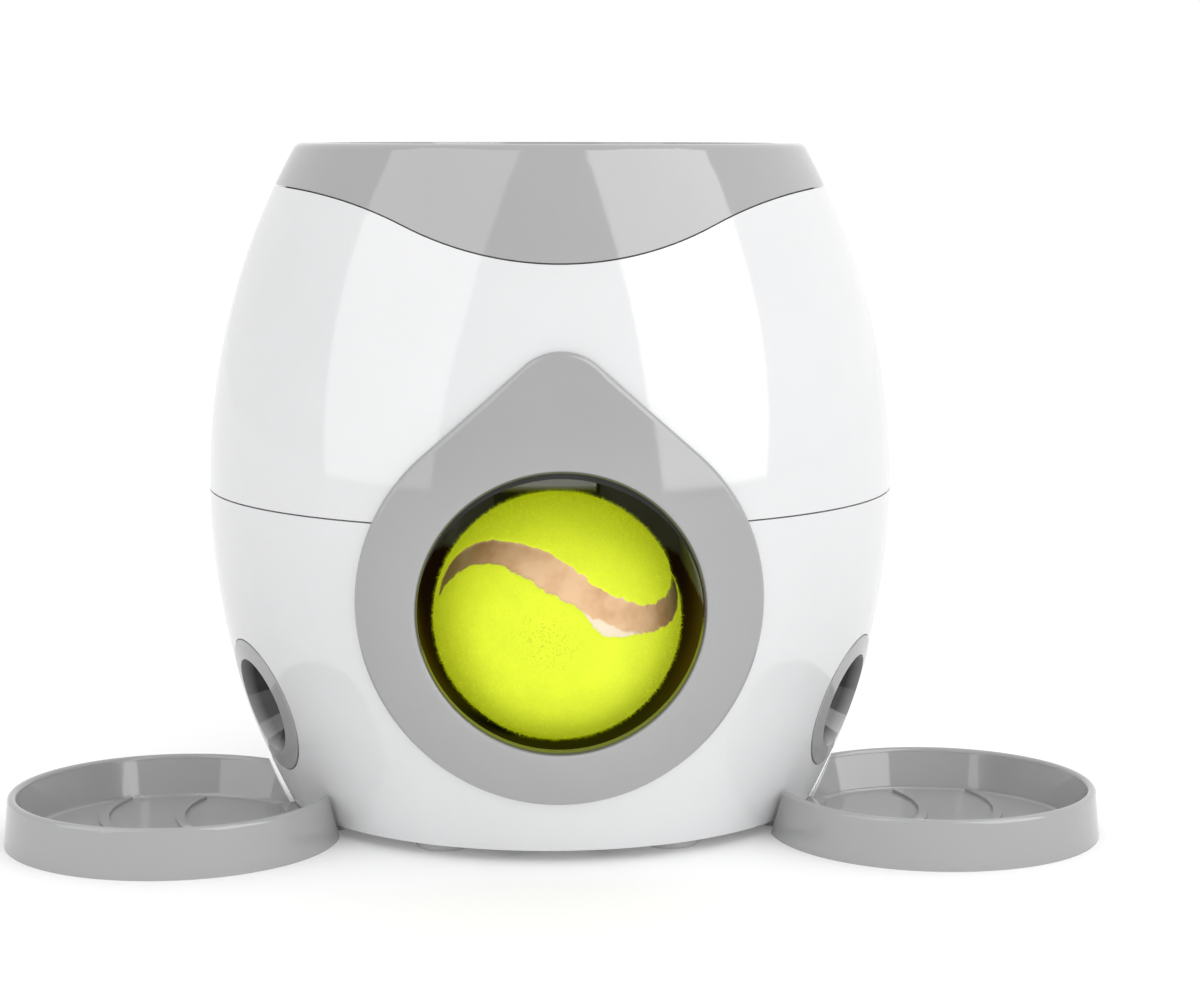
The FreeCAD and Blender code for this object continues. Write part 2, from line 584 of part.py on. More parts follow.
# ---- ball way ----
def on_wheel_axis(x):
    return Vector(x, WHEEL_Y, WHEEL_HEIGHT)


def wheel_sweep(margin=0.0):
    """Space that the paddles turn through."""
    half = SWEEP_HALF_WIDTH + margin
    return rod(SWEEP_RADIUS + margin, on_wheel_axis(-half), on_wheel_axis(half))


def elbow(radius, front_past=0.0, top=RAMP_RIM_HEIGHT):
    """Solid bend: a vertical way, a half-ball corner and a level tunnel to the front."""
    corner = Vector(0, 0, TUNNEL_AXIS_HEIGHT)
    shapes = [Part.makeSphere(radius, corner, Z_AXIS, -90, 0, 360),
              upright(radius, 0, 0, TUNNEL_AXIS_HEIGHT, top),
              rod(radius, corner, Vector(0, -BODY_RADIUS - front_past, TUNNEL_AXIS_HEIGHT))]
    return union(shapes)


def ball_ramp():
    shapes = [elbow(WAY_OUTER)]
    socket_bottom = RAMP_RIM_HEIGHT - SOCKET_HEIGHT
    socket_top = RAMP_RIM_HEIGHT + SOCKET_HEIGHT
    shapes.append(upright(SOCKET_OUTER, 0, 0, socket_bottom, socket_top))
    for leg_y in sorted({y for x, y in ramp_screw_places()}):
        shapes.append(box((-SADDLE_HALF_WIDTH, SADDLE_HALF_WIDTH),
                          (leg_y - SADDLE_THICKNESS / 2, leg_y + SADDLE_THICKNESS / 2),
                          (BASE_TOP, TUNNEL_AXIS_HEIGHT - SADDLE_TOP_DROP)))
    for x, y in both_sides(ramp_screw_places()):
        shapes.append(upright(BOSS_RADIUS, x, y, BASE_TOP, BASE_TOP + BOSS_LENGTH))
    ramp = union(shapes)
    ramp = ramp.cut(elbow(WAY_RADIUS, CUT_PAST, socket_top + CUT_PAST))
    ramp = ramp.cut(upright(COLLAR_INNER, 0, 0, RAMP_RIM_HEIGHT, socket_top + CUT_PAST))
    ramp = ramp.common(barrel(0, BODY_HEIGHT, -SHELL_WALL - 2 * FIT_GAP))
    for x, y in both_sides(ramp_screw_places()):
        ramp = ramp.cut(upright(HOLE_RADIUS, x, y, BASE_TOP - CUT_PAST, BASE_TOP + SCREW_LENGTH))
    return ramp.cut(wheel_sweep())


def ball_tube():
    tube = pipe(WAY_OUTER, WAY_RADIUS, Vector(0, 0, RAMP_RIM_HEIGHT), Vector(0, 0, TUBE_TOP))
    return tube.cut(wheel_sweep())


# ---- dosing wheel ----
def paddle_wheel():
    shapes = [rod(HUB_RADIUS, on_wheel_axis(-DRUM_INNER_X), on_wheel_axis(DRUM_INNER_X))]
    half = PADDLE_THICKNESS / 2
    for number in range(PADDLE_COUNT):
        paddle = box((-WHEEL_HALF_WIDTH, WHEEL_HALF_WIDTH), (WHEEL_Y - half, WHEEL_Y + half),
                     (WHEEL_HEIGHT, WHEEL_HEIGHT + WHEEL_RADIUS - half))
        tip_rise = Vector(0, 0, WHEEL_RADIUS - half)
        tip_ends = on_wheel_axis(-WHEEL_HALF_WIDTH) + tip_rise, on_wheel_axis(WHEEL_HALF_WIDTH) + tip_rise
        tip = rod(half, *tip_ends)
        paddle = union([paddle, tip])
        paddle.rotate(on_wheel_axis(0), X_AXIS, 360 / PADDLE_COUNT * (number + 0.5))
        shapes.append(paddle)
    bore = rod(AXLE_RADIUS + RUNNING_CLEARANCE, on_wheel_axis(-FAR), on_wheel_axis(FAR))
    return union(shapes).cut(bore)


def wheel_axle():
    end = BUSH_OUTER_X + AXLE_OVERHANG
    return rod(AXLE_RADIUS, on_wheel_axis(-end), on_wheel_axis(end))


def dosing_drum():
    drum = rod(DRUM_RADIUS, on_wheel_axis(DRUM_INNER_X), on_wheel_axis(DRUM_OUTER_X))
    rise = Vector(0, 0, DRUM_RADIUS)
    for number in range(POCKET_COUNT):
        pocket = rod(POCKET_RADIUS, on_wheel_axis(DRUM_INNER_X + DRUM_WEB) + rise,
                     on_wheel_axis(DRUM_OUTER_X - DRUM_WEB) + rise)
        pocket.rotate(on_wheel_axis(0), X_AXIS, 360 / POCKET_COUNT * number)
        drum = drum.cut(pocket)
    return drum.cut(rod(AXLE_RADIUS + RUNNING_CLEARANCE, on_wheel_axis(0), on_wheel_axis(FAR)))


def ear(x, y):
    """Flat screw ear at the foot of a drum housing."""
    heights = (DECK_TOP, DECK_TOP + EAR_THICKNESS)
    across, back = DRUM_CENTRE_X - x, WHEEL_Y - y
    plate = box((0, math.hypot(across, back)), (-BOSS_RADIUS, BOSS_RADIUS), heights)
    plate.rotate(Vector(0, 0, 0), Z_AXIS, math.degrees(math.atan2(back, across)))
    plate.translate(Vector(x, y, 0))
    return union([plate, upright(BOSS_RADIUS, x, y, *heights)])


def drum_housing():
    """Barrel round one drum, with a treat inlet above, a spout below and the bush seat."""
    inner_x = DRUM_INNER_X - DRUM_CLEARANCE
    half_spout = CHUTE_BORE + HOUSING_WALL
    spout = box((DRUM_CENTRE_X - half_spout, min(DRUM_CENTRE_X + half_spout, HOUSING_END_X)),
                (WHEEL_Y - half_spout, WHEEL_Y + half_spout), (DECK_TOP, WHEEL_HEIGHT))
    shapes = [rod(HOUSING_OUTER, on_wheel_axis(inner_x), on_wheel_axis(HOUSING_END_X)),
              rod(BUSH_RADIUS + HOUSING_WALL, on_wheel_axis(DRUM_OUTER_X), on_wheel_axis(BUSH_OUTER_X)),
              inlet_column(HOUSING_WALL).cut(hopper_profile(0, FAR)),
              spout]
    housing = union(shapes + [ear(x, y) for x, y in EAR_SCREW_PLACES])
    for x, y in EAR_SCREW_PLACES:
        housing = housing.cut(upright(HOLE_RADIUS, x, y, DECK_TOP - CUT_PAST, DECK_TOP + BOSS_RADIUS))
    housing = housing.cut(rod(HOUSING_BORE, on_wheel_axis(0), on_wheel_axis(HOUSING_END_X - HOUSING_WALL)))
    housing = housing.cut(inlet_column())
    drop_hole = upright(CHUTE_BORE, DRUM_CENTRE_X, WHEEL_Y, DECK_TOP - CUT_PAST, WHEEL_HEIGHT)
    inside_end = box((0, HOUSING_END_X - HOUSING_WALL), (0, FAR), (0, FAR))
    housing = housing.cut(drop_hole.common(inside_end))
    return housing.cut(rod(BUSH_RADIUS + BUSH_SEAT_CLEARANCE, on_wheel_axis(0), on_wheel_axis(FAR)))


def inlet_column(wall=0.0):
    """Upright rectangular column over a drum: the treat inlet, or the chimney round it."""
    half_x, half_y = INLET_LENGTH / 2 + wall, INLET_WIDTH / 2 + wall
    return box((DRUM_CENTRE_X - half_x, DRUM_CENTRE_X + half_x),
               (WHEEL_Y - half_y, WHEEL_Y + half_y), (WHEEL_HEIGHT, BODY_HEIGHT))


def axle_bushes():
    ends = on_wheel_axis(HOUSING_END_X - HOUSING_WALL), on_wheel_axis(BUSH_OUTER_X)
    bush = pipe(BUSH_RADIUS, AXLE_RADIUS + RUNNING_CLEARANCE, *ends)
    return loose_group([bush, mirrored(bush)])


# ---- treat way ----
def chute_bend():
    """Where a run that just clears the ball's drop meets the outlet's axis."""
    point, outwards = outlet_frame()
    clear = WAY_OUTER + CHUTE_OUTER + CHUTE_WAY_GAP
    turn = math.atan2(DRUM_CENTRE_X, -WHEEL_Y) - math.radians(OUTLET_AZIMUTH)
    from_axis = clear / math.cos(turn - math.acos(clear / math.hypot(DRUM_CENTRE_X, WHEEL_Y)))
    back = (math.hypot(point.x, point.y) - from_axis) / math.hypot(outwards.x, outwards.y)
    return point - outwards * back


def treat_chute():
    """Sloping pipe from under the drum, bent towards the outlet."""
    point, outwards = outlet_frame()
    bend = chute_bend()
    start = Vector(DRUM_CENTRE_X, WHEEL_Y, DECK_BOTTOM)
    drop_end = start - Vector(0, 0, CHUTE_KNEE)
    past = outwards * CUT_PAST
    end = point + past

    def solid(radius, extra):
        corners = [Part.makeSphere(radius, drop_end), Part.makeSphere(radius, bend)]
        runs = [rod(radius, start + Vector(0, 0, extra), drop_end), rod(radius, drop_end, bend),
                rod(radius, bend, end + past * extra)]
        return union(corners + runs)

    chute = solid(CHUTE_OUTER, 0).cut(solid(CHUTE_BORE, CUT_PAST))
    return chute.common(barrel(0, DECK_BOTTOM, -OUTLET_DEPTH - FIT_GAP))


# ---- deck and hopper ----
def mechanism_deck():
    """Horseshoe deck at the seam that carries the drum housings."""
    deck = barrel(DECK_BOTTOM, DECK_TOP, DECK_INSET)
    reach = WAY_OUTER + FIT_GAP
    deck = deck.cut(upright(reach, 0, 0, 0, BODY_HEIGHT))
    deck = deck.cut(box((-reach, reach), (-FAR, 0), (0, BODY_HEIGHT)))
    wheel_half = SWEEP_HALF_WIDTH
    deck = deck.cut(box((-wheel_half, wheel_half), (0, WHEEL_Y + SWEEP_RADIUS), (0, BODY_HEIGHT)))
    for side in (1, -1):
        deck = deck.cut(upright(CHUTE_BORE, side * DRUM_CENTRE_X, WHEEL_Y, 0, BODY_HEIGHT))
    ear_bosses = [upright(BOSS_RADIUS, x, y, DECK_BOTTOM - EAR_BOSS_LENGTH, DECK_TOP)
                  for x, y in both_sides(EAR_SCREW_PLACES)]
    deck = union([deck] + ear_bosses)
    for x, y in both_sides(deck_screw_places() + shell_screw_places() + list(EAR_SCREW_PLACES)):
        deck = deck.cut(upright(HOLE_RADIUS, x, y, 0, BODY_HEIGHT))
    return deck


def hopper_profile(low, high):
    """Layer under the hopper's sloping floor line, from `low` to `high` above its underside."""
    front = VALLEY_HEIGHT + math.tan(math.radians(FRONT_SLOPE)) * (WHEEL_Y + BODY_RADIUS)
    rear = VALLEY_HEIGHT + math.tan(math.radians(REAR_SLOPE)) * (BODY_RADIUS - WHEEL_Y)
    line_points = [(-BODY_RADIUS, front), (WHEEL_Y, VALLEY_HEIGHT), (BODY_RADIUS, rear)]
    under = [Vector(-FAR, y, z + low) for y, z in line_points]
    over = [Vector(-FAR, y, z + high) for y, z in reversed(line_points)]
    return face(closed_path(under + over)).extrude(Vector(2 * FAR, 0, 0))


def hopper_floor():
    plate = hopper_profile(0, FLOOR_THICKNESS)
    hood = wheel_sweep(HOOD_WALL).common(hopper_profile(FLOOR_THICKNESS / 2, FAR))
    inside = barrel(0, WAVE_HIGH, DECK_INSET)
    floor = union([plate.common(inside), hood.common(inside)])
    floor = floor.cut(wheel_sweep())
    floor = floor.cut(upright(COLLAR_INNER, 0, 0, 0, FAR))
    floor = floor.cut(upright(COLLAR_OUTER + FIT_GAP, 0, 0, COLLAR_BOTTOM - FIT_GAP, FAR))
    return floor.cut(inlet_column()).cut(mirrored(inlet_column()))


# ---- base ----
def turned_to_bowl(shape):
    """Turn a shape drawn along +X to the right-hand bowl's direction."""
    shape.rotate(Vector(0, 0, 0), Z_AXIS, BOWL_AZIMUTH - 90)
    return shape


def tongue_guides():
    """Two ribs under the base that steer a bowl's tongue."""
    inner = TONGUE_HALF_WIDTH + FIT_GAP
    tongue_end = barrel_radius(FOOT_HEIGHT) - TONGUE_DEPTH
    under_base = upright(barrel_radius(0) - SHELL_WALL - 2 * FIT_GAP, 0, 0, 0, BASE_TOP)
    guides = []
    for side in (1, -1):
        across = sorted((side * inner, side * (inner + GUIDE_WIDTH)))
        guide = box((tongue_end, BODY_RADIUS), across, (GUIDE_GROUND_GAP, FOOT_HEIGHT + WELD))
        guides.append(turned_to_bowl(guide).common(under_base))
    return guides


def base_plate():
    plate = barrel(FOOT_HEIGHT, BASE_TOP, -SHELL_WALL - FIT_GAP)
    guides = tongue_guides()
    plate = union([plate] + guides + [mirrored(g) for g in guides])
    for x, y in both_sides(base_screw_places() + ramp_screw_places()):
        plate = plate.cut(upright(HOLE_RADIUS, x, y, 0, BASE_TOP + CUT_PAST))
    return plate


def rubber_feet():
    return loose_group([upright(FOOT_RADIUS, x, y, 0, FOOT_HEIGHT) for x, y in both_sides(foot_places())])


# ---- screws ----
def screw(x, y, seat, direction, length=SCREW_LENGTH):
    """Pan-head screw whose head rests on `seat`; direction +1 points its tip up."""
    start = Vector(x, y, seat)
    along = Z_AXIS * direction
    shank = rod(SCREW_RADIUS, start, start + along * length)
    head = rod(SCREW_HEAD_RADIUS, start - along * SCREW_HEAD_HEIGHT, start)
    return union([shank, head])


def screws(places, seat, direction, length=SCREW_LENGTH):
    return loose_group([screw(x, y, seat, direction, length) for x, y in both_sides(places)])


# ---- bowls ----
def bowl_blank():
    """Dish turned about its own axis at the origin."""
    rim_round = BOWL_RIM_WIDTH / 2
    wall_top = BOWL_HEIGHT - rim_round
    inner_rim = BOWL_RIM_RADIUS - BOWL_RIM_WIDTH
    bend_start = BOWL_FLOOR_RADIUS - BOWL_CORNER_ROUND
    slope = Vector(inner_rim - BOWL_FLOOR_RADIUS, 0, wall_top - BOWL_FLOOR - BOWL_CORNER_ROUND)
    corner_end = Vector(BOWL_FLOOR_RADIUS, 0, BOWL_FLOOR + BOWL_CORNER_ROUND)
    quarter = BOWL_CORNER_ROUND * math.sqrt(0.5)
    corner_middle = Vector(bend_start + quarter, 0, BOWL_FLOOR + BOWL_CORNER_ROUND - quarter)
    points = {"axis_floor": Vector(0, 0, BOWL_FLOOR), "axis_base": Vector(0, 0, 0),
              "base_edge": Vector(BOWL_BASE_RADIUS, 0, 0), "rim_outer": Vector(BOWL_RIM_RADIUS, 0, wall_top),
              "rim_top": Vector(BOWL_RIM_RADIUS - rim_round, 0, BOWL_HEIGHT),
              "rim_inner": corner_end + slope, "floor_edge": Vector(bend_start, 0, BOWL_FLOOR)}
    edges = [line(points["axis_floor"], points["axis_base"]),
             line(points["axis_base"], points["base_edge"]),
             line(points["base_edge"], points["rim_outer"]),
             arc(points["rim_outer"], points["rim_top"], points["rim_inner"]),
             line(points["rim_inner"], corner_end),
             arc(corner_end, corner_middle, points["floor_edge"]),
             line(points["floor_edge"], points["axis_floor"])]
    return face(edges).revolve(Vector(0, 0, 0), Z_AXIS, 360)


def bowl_centre():
    return Vector(*round_place(BODY_RADIUS + BOWL_OUT, BOWL_AZIMUTH), 0)


def floor_rib(crest):
    """Low curved rib moulded on the bowl's floor."""
    centre = bowl_centre() + Vector(crest - FLOOR_RIB_RADIUS, FLOOR_RIB_BACK, BOWL_FLOOR - WELD)
    half = FLOOR_RIB_WIDTH / 2
    height = FLOOR_RIB_HEIGHT + WELD
    span = 2 * FLOOR_RIB_HALF_ANGLE
    outer = Part.makeCylinder(FLOOR_RIB_RADIUS + half, height, centre, Z_AXIS, span)
    inner = Part.makeCylinder(FLOOR_RIB_RADIUS - half, height, centre, Z_AXIS, span)
    rib = outer.cut(inner)
    rib.rotate(centre, Z_AXIS, -FLOOR_RIB_HALF_ANGLE)
    return rib


def bowl():
    dish = bowl_blank()
    dish.translate(bowl_centre())
    floor_edge = BOWL_FLOOR_RADIUS - BOWL_CORNER_ROUND
    floor_zone = upright(floor_edge, bowl_centre().x, bowl_centre().y, 0, BOWL_HEIGHT)
    ribs = [floor_rib(crest).common(floor_zone) for crest in FLOOR_RIB_CRESTS]
    dish = union([dish] + ribs).cut(barrel(0, BODY_HEIGHT / 2, BOWL_BODY_GAP))
    return union([dish, bowl_tongue()])


def bowl_tongue():
    """Flat tongue that slides between the guides under the base."""
    inner_end = barrel_radius(FOOT_HEIGHT) - TONGUE_DEPTH
    outer_end = barrel_radius(FOOT_HEIGHT) + BOWL_BODY_GAP + TONGUE_ROOT
    tongue = box((inner_end, outer_end), (-TONGUE_HALF_WIDTH, TONGUE_HALF_WIDTH), (0, FOOT_HEIGHT - FIT_GAP))
    return turned_to_bowl(tongue)


# ---- ball ----
def ball_centre():
    return Vector(0, BALL_REST_Y, TUNNEL_FLOOR + BALL_REST_GAP + BALL_RADIUS)


def hollow_ball(outer, inner):
    return Part.makeSphere(outer, ball_centre()).cut(Part.makeSphere(inner, ball_centre()))


def build():
    felt_inner = BALL_RADIUS - FELT_THICKNESS
    core_outer = felt_inner - RUNNING_CLEARANCE
    right = {"outlet_ring": outlet_ring(), "bowl": bowl(), "dosing_drum": dosing_drum(),
             "drum_housing": drum_housing(), "treat_chute": treat_chute()}
    nodes = {"top_cover": top_cover(),
             "upper_shell": upper_shell(),
             "lower_shell": lower_shell(),
             "front_bezel": front_bezel(),
             "ball_tube": ball_tube(),
             "ball_ramp": ball_ramp(),
             "paddle_wheel": paddle_wheel(),
             "wheel_axle": wheel_axle(),
             "axle_bushes": axle_bushes(),
             "mechanism_deck": mechanism_deck(),
             "hopper_floor": hopper_floor(),
             "base_plate": base_plate(),
             "rubber_feet": rubber_feet(),
             "base_screws": screws(base_screw_places(), FOOT_HEIGHT, 1),
             "ramp_screws": screws(ramp_screw_places(), FOOT_HEIGHT, 1),
             "deck_screws": screws(deck_screw_places(), DECK_TOP, -1),
             "shell_screws": screws(shell_screw_places(), DECK_BOTTOM - BOSS_SHOULDER, 1,
                                    SCREW_LENGTH + BOSS_SHOULDER),
             "housing_screws": screws(EAR_SCREW_PLACES, DECK_TOP + EAR_THICKNESS, -1),
             "tennis_ball_felt": hollow_ball(BALL_RADIUS, felt_inner),
             "tennis_ball_core": hollow_ball(core_outer, core_outer - CORE_WALL)}
    for name, shape in right.items():
        nodes[name + "_right"] = shape
        nodes[name + "_left"] = mirrored(shape)
    return nodes


def main():
    os.makedirs("parts", exist_ok=True)
    for name, shape in build().items():
        shape.exportStep(f"parts/{name}.step")
        print(name, "valid" if shape.isValid() else "INVALID", "solids", len(shape.Solids),
              "volume", round(shape.Volume, 1))


main()
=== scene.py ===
# %% [markdown]
# A gravity fetch toy, dressed for the studio
#
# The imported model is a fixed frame: every shell, bowl and chute already has its true size
# and place, and rides on the body that moves it. What is left is how it looks. The shells
# need glossy moulded plastic, the ball needs felt with a worn seam, and the screws and feet
# need the small forms that a plain solid leaves out.

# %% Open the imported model
import math
import bpy
import bmesh
from mathutils import Matrix, Vector


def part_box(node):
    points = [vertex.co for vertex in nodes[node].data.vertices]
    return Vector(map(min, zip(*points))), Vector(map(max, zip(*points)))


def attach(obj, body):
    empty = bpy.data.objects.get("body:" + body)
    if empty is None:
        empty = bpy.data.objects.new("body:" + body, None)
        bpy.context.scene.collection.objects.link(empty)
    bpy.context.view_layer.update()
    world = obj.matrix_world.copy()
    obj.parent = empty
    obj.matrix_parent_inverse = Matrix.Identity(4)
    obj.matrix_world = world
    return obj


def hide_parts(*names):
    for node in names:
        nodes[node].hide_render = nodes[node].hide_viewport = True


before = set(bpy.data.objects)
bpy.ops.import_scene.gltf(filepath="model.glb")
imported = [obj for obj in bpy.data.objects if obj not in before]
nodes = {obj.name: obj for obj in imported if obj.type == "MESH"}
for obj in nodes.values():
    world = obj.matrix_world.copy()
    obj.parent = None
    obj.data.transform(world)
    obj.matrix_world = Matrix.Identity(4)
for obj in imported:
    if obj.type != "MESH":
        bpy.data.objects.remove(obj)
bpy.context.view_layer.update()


def add_object(name, data):
    """New object in the scene, at the origin, unturned and unscaled."""
    item = bpy.data.objects.new(name, data)
    bpy.context.scene.collection.objects.link(item)
    return item


# %% [markdown]
# The camera
#
# A product picture is taken from a little above and straight ahead, with a long lens, so
# that the barrel keeps its shape. The distance, height and aim below put the
# barrel's edges, its seam and both bowls where such a lens draws them. A lens could also be
# aimed with a Track To constraint, but a plain matrix leaves nothing to follow or drive.

# %% Camera
CAMERA_DISTANCE = 0.771615
CAMERA_HEIGHT = 0.18839
CAMERA_SIDE_TURN = 0.0295      # radians round the toy, towards its left
CAMERA_YAW = 0.018
CAMERA_PITCH = 0.1325          # looking down
CAMERA_ROLL = 0.0013
CAMERA_LENS = 82.936
SENSOR_WIDTH = 36.0
NEAREST_SEEN = 0.01


def aimed_matrix(place, turn, pitch, roll):
    """Matrix of a camera at `place` that looks along +Y turned by `turn` and tipped down."""
    level = math.cos(pitch)
    forward = Vector((math.sin(turn) * level, math.cos(turn) * level, -math.sin(pitch)))
    right = Vector((math.cos(turn), -math.sin(turn), 0.0))
    up = right.cross(forward)
    rolled_right = right * math.cos(roll) + up * math.sin(roll)
    rolled_up = up * math.cos(roll) - right * math.sin(roll)
    matrix = Matrix((rolled_right, rolled_up, -forward)).transposed().to_4x4()
    matrix.translation = place
    return matrix


camera_data = bpy.data.cameras.new("studio_camera")
camera_data.sensor_width = SENSOR_WIDTH
camera_data.sensor_fit = "HORIZONTAL"
camera_data.lens = CAMERA_LENS
camera_data.clip_start = NEAREST_SEEN
camera = add_object("studio_camera", camera_data)
towards_camera = Vector((-math.sin(CAMERA_SIDE_TURN), -math.cos(CAMERA_SIDE_TURN), 0.0))
camera_place = towards_camera * CAMERA_DISTANCE
camera_place.z = CAMERA_HEIGHT
camera.matrix_world = aimed_matrix(camera_place, CAMERA_SIDE_TURN + CAMERA_YAW, CAMERA_PITCH,
                                   CAMERA_ROLL)
bpy.context.scene.camera = camera
print("camera at mm:", [round(v * 1000) for v in camera_place])

# %% [markdown]
# Helpers for node trees
#
# Materials and Geometry Nodes are both trees of nodes with sockets. One helper that adds a
# node, sets or links its sockets and hands it back keeps each tree below short enough to
# read as a recipe.

# %% Node helpers


def set_sockets(tree, node, sockets):
    """Link each named socket to another node's output, or set it to a plain value."""
    for name, value in sockets.items():
        if isinstance(value, bpy.types.NodeSocket):
            tree.links.new(value, node.inputs[name])
        else:
            node.inputs[name].default_value = value


def add_node(tree, kind, sockets=None, **settings):
    """Add a node with its settings and sockets."""
    node = tree.nodes.new(kind)
    for name, value in settings.items():
        setattr(node, name, value)
    set_sockets(tree, node, sockets or {})
    return node


def math_node(tree, operation, first, second):
    sockets = {0: first, 1: second}
    return add_node(tree, "ShaderNodeMath", sockets, operation=operation).outputs[0]


def vector_node(tree, operation, sockets, output="Vector"):
    return add_node(tree, "ShaderNodeVectorMath", sockets, operation=operation).outputs[output]


def map_range(tree, value, start, end, low=0.0, high=1.0, **settings):
    """Go from low to high as the value goes from start to end, and no further."""
    sockets = {"Value": value, "From Min": start, "From Max": end, "To Min": low, "To Max": high}
    return add_node(tree, "ShaderNodeMapRange", sockets, **settings).outputs[0]


def blend_colours(tree, share, first, second, blend="MIX"):
    """Mix of two colours, each a plain colour or another node's output."""
    first, second = [colour if isinstance(colour, bpy.types.NodeSocket) else (*colour, 1.0)
                     for colour in (first, second)]
    sockets = {0: share, 6: first, 7: second}
    return add_node(tree, "ShaderNodeMix", sockets, data_type="RGBA", blend_type=blend).outputs[2]


def ramp(tree, factor, low_colour, high_colour, low=0.0, high=1.0):
    """Colour that goes from one to the other as `factor` goes from low to high."""
    return blend_colours(tree, map_range(tree, factor, low, high), low_colour, high_colour)


def noise(tree, place, scale, detail=2.0, roughness=0.5):
    sockets = {"Vector": place, "Scale": scale, "Detail": detail, "Roughness": roughness}
    return add_node(tree, "ShaderNodeTexNoise", sockets).outputs[0]


def bump(tree, height, depth, strength=1.0, normal=None):
    """Bump whose `height` runs from 0 to 1 over `depth` metres."""
    sockets = {"Height": height, "Distance": depth, "Strength": strength}
    if normal is not None:
        sockets["Normal"] = normal
    return add_node(tree, "ShaderNodeBump", sockets).outputs[0]


def new_material(name):
    """Empty material with a Principled shader on its output, and its object coordinates."""
    material = bpy.data.materials.new(name)
    material.use_nodes = True
    tree = material.node_tree
    tree.nodes.clear()
    shader = add_node(tree, "ShaderNodeBsdfPrincipled")
    add_node(tree, "ShaderNodeOutputMaterial", {"Surface": shader.outputs["BSDF"]})
    place = add_node(tree, "ShaderNodeTexCoord").outputs["Object"]
    return material, tree, shader, place


print("helpers ready")

# %% [markdown]
# Glossy moulded ABS
#
# The shells, cover, bezel, outlet rings and bowls come out of polished steel moulds. Such a
# skin mirrors the lamps with crisp edges, yet it is never quite flat: the melt leaves a very
# slow waviness as it shrinks, a trace of orange peel, and faint changes of colour and
# gloss. Each of those is one noise at its own scale. A clear coat on top could give the same
# mirror, but ABS has no lacquer, so the gloss is the plastic's own.

# %% Glossy plastics
ABS_IOR = 1.54
ABS_GLOSS = (0.05, 0.09)       # roughness, where the skin is brightest and dullest
MELT_WAVE = 6.0e-5             # depth of the slow waviness
ORANGE_PEEL = 2.5e-6
MELT_TINT = 0.975              # what the melt's darker clouds keep of the colour


def glossy_abs(name, colour):
    material, tree, shader, place = new_material(name)
    mottle = noise(tree, place, scale=32.0, detail=4.0, roughness=0.6)
    tint = [channel * MELT_TINT for channel in colour]
    haze = noise(tree, place, scale=210.0, detail=3.0, roughness=0.6)
    slow_wave = bump(tree, noise(tree, place, scale=28.0, detail=1.0), MELT_WAVE)
    peel = noise(tree, place, scale=900.0, detail=1.0)
    set_sockets(tree, shader, {
        "Base Color": ramp(tree, mottle, tint, colour, 0.35, 0.65),
        "Roughness": map_range(tree, haze, 0.0, 1.0, *ABS_GLOSS),
        "Normal": bump(tree, peel, ORANGE_PEEL, normal=slow_wave),
        "IOR": ABS_IOR})
    print(name, "colour", colour)
    return material


white_abs = glossy_abs("gloss_white_abs", (0.740, 0.744, 0.752))
grey_abs = glossy_abs("gloss_grey_abs", (0.380, 0.380, 0.384))

# %% [markdown]
# Painted shade in the throats
#
# Behind the bright edges of the bezel and of the two outlet rings the holes are dark: their
# throats get a charcoal that is painted shade, standing for the shade deep in each hole. Each
# of these parts is one solid, so the finish finds the throat by its distance from the hole's
# own axis. Two materials on two sets of faces would do as well, but a measured circle stays
# right if the facets change.

# %% Bezel and outlet ring finishes
MOUTH_HEIGHT = 0.0684
MOUTH_RADIUS = 0.0362
OUTLET_AZIMUTH = math.radians(66.5)    # from the front, to either side
OUTLET_TILT = math.radians(-17.28)     # the barrel's side leans out over the outlet
OUTLET_PLACE_RADIUS = 0.0864           # barrel's radius at the outlet
OUTLET_HEIGHT = 0.0342
OUTLET_MOUTH_RADIUS = 0.0133
OUTLET_EDGE = 0.0012                   # the hole's rounded edge, over which the dark fades in
BEZEL_EDGE = 0.0004
# painted shade: the colours that stand for the shade deep in the mouth and in the outlets
THROAT_SHADE = (0.075, 0.073, 0.070)
OUTLET_THROAT_SHADE = (0.05, 0.05, 0.05)


def base_colour_of(material):
    """Tree of a finished material, its base colour's socket, and its object coordinates."""
    tree = material.node_tree
    place = add_node(tree, "ShaderNodeTexCoord").outputs["Object"]
    return tree, tree.nodes["Principled BSDF"].inputs["Base Color"], place


def shade_throat(material, point, direction, radius, fade, colour):
    """Paint shade on what lies inside a circle round an axis; the painted shade fades out over
    `fade`.
    """
    tree, base, place = base_colour_of(material)
    from_point = vector_node(tree, "SUBTRACT", {0: place, 1: point})
    turned = vector_node(tree, "CROSS_PRODUCT", {0: from_point, 1: direction})
    away = vector_node(tree, "LENGTH", {0: turned}, "Value")
    outside = map_range(tree, away, radius, radius + fade)
    # painted shade inside the hole's circle, blended over the finish's own colour
    tree.links.new(blend_colours(tree, outside, colour, base.links[0].from_socket), base)
    return material


def outlet_finish(name, side):
    """Finish of one outlet ring; side is 1 for the right-hand one and -1 for the left."""
    out = Vector((side * math.sin(OUTLET_AZIMUTH), -math.cos(OUTLET_AZIMUTH), 0.0))
    direction = out * math.cos(OUTLET_TILT) + Vector((0.0, 0.0, math.sin(OUTLET_TILT)))
    point = out * OUTLET_PLACE_RADIUS + Vector((0.0, 0.0, OUTLET_HEIGHT))
    return shade_throat(glossy_abs(name, (0.372, 0.372, 0.376)), point, direction,
                       OUTLET_MOUTH_RADIUS - OUTLET_EDGE, OUTLET_EDGE, OUTLET_THROAT_SHADE)


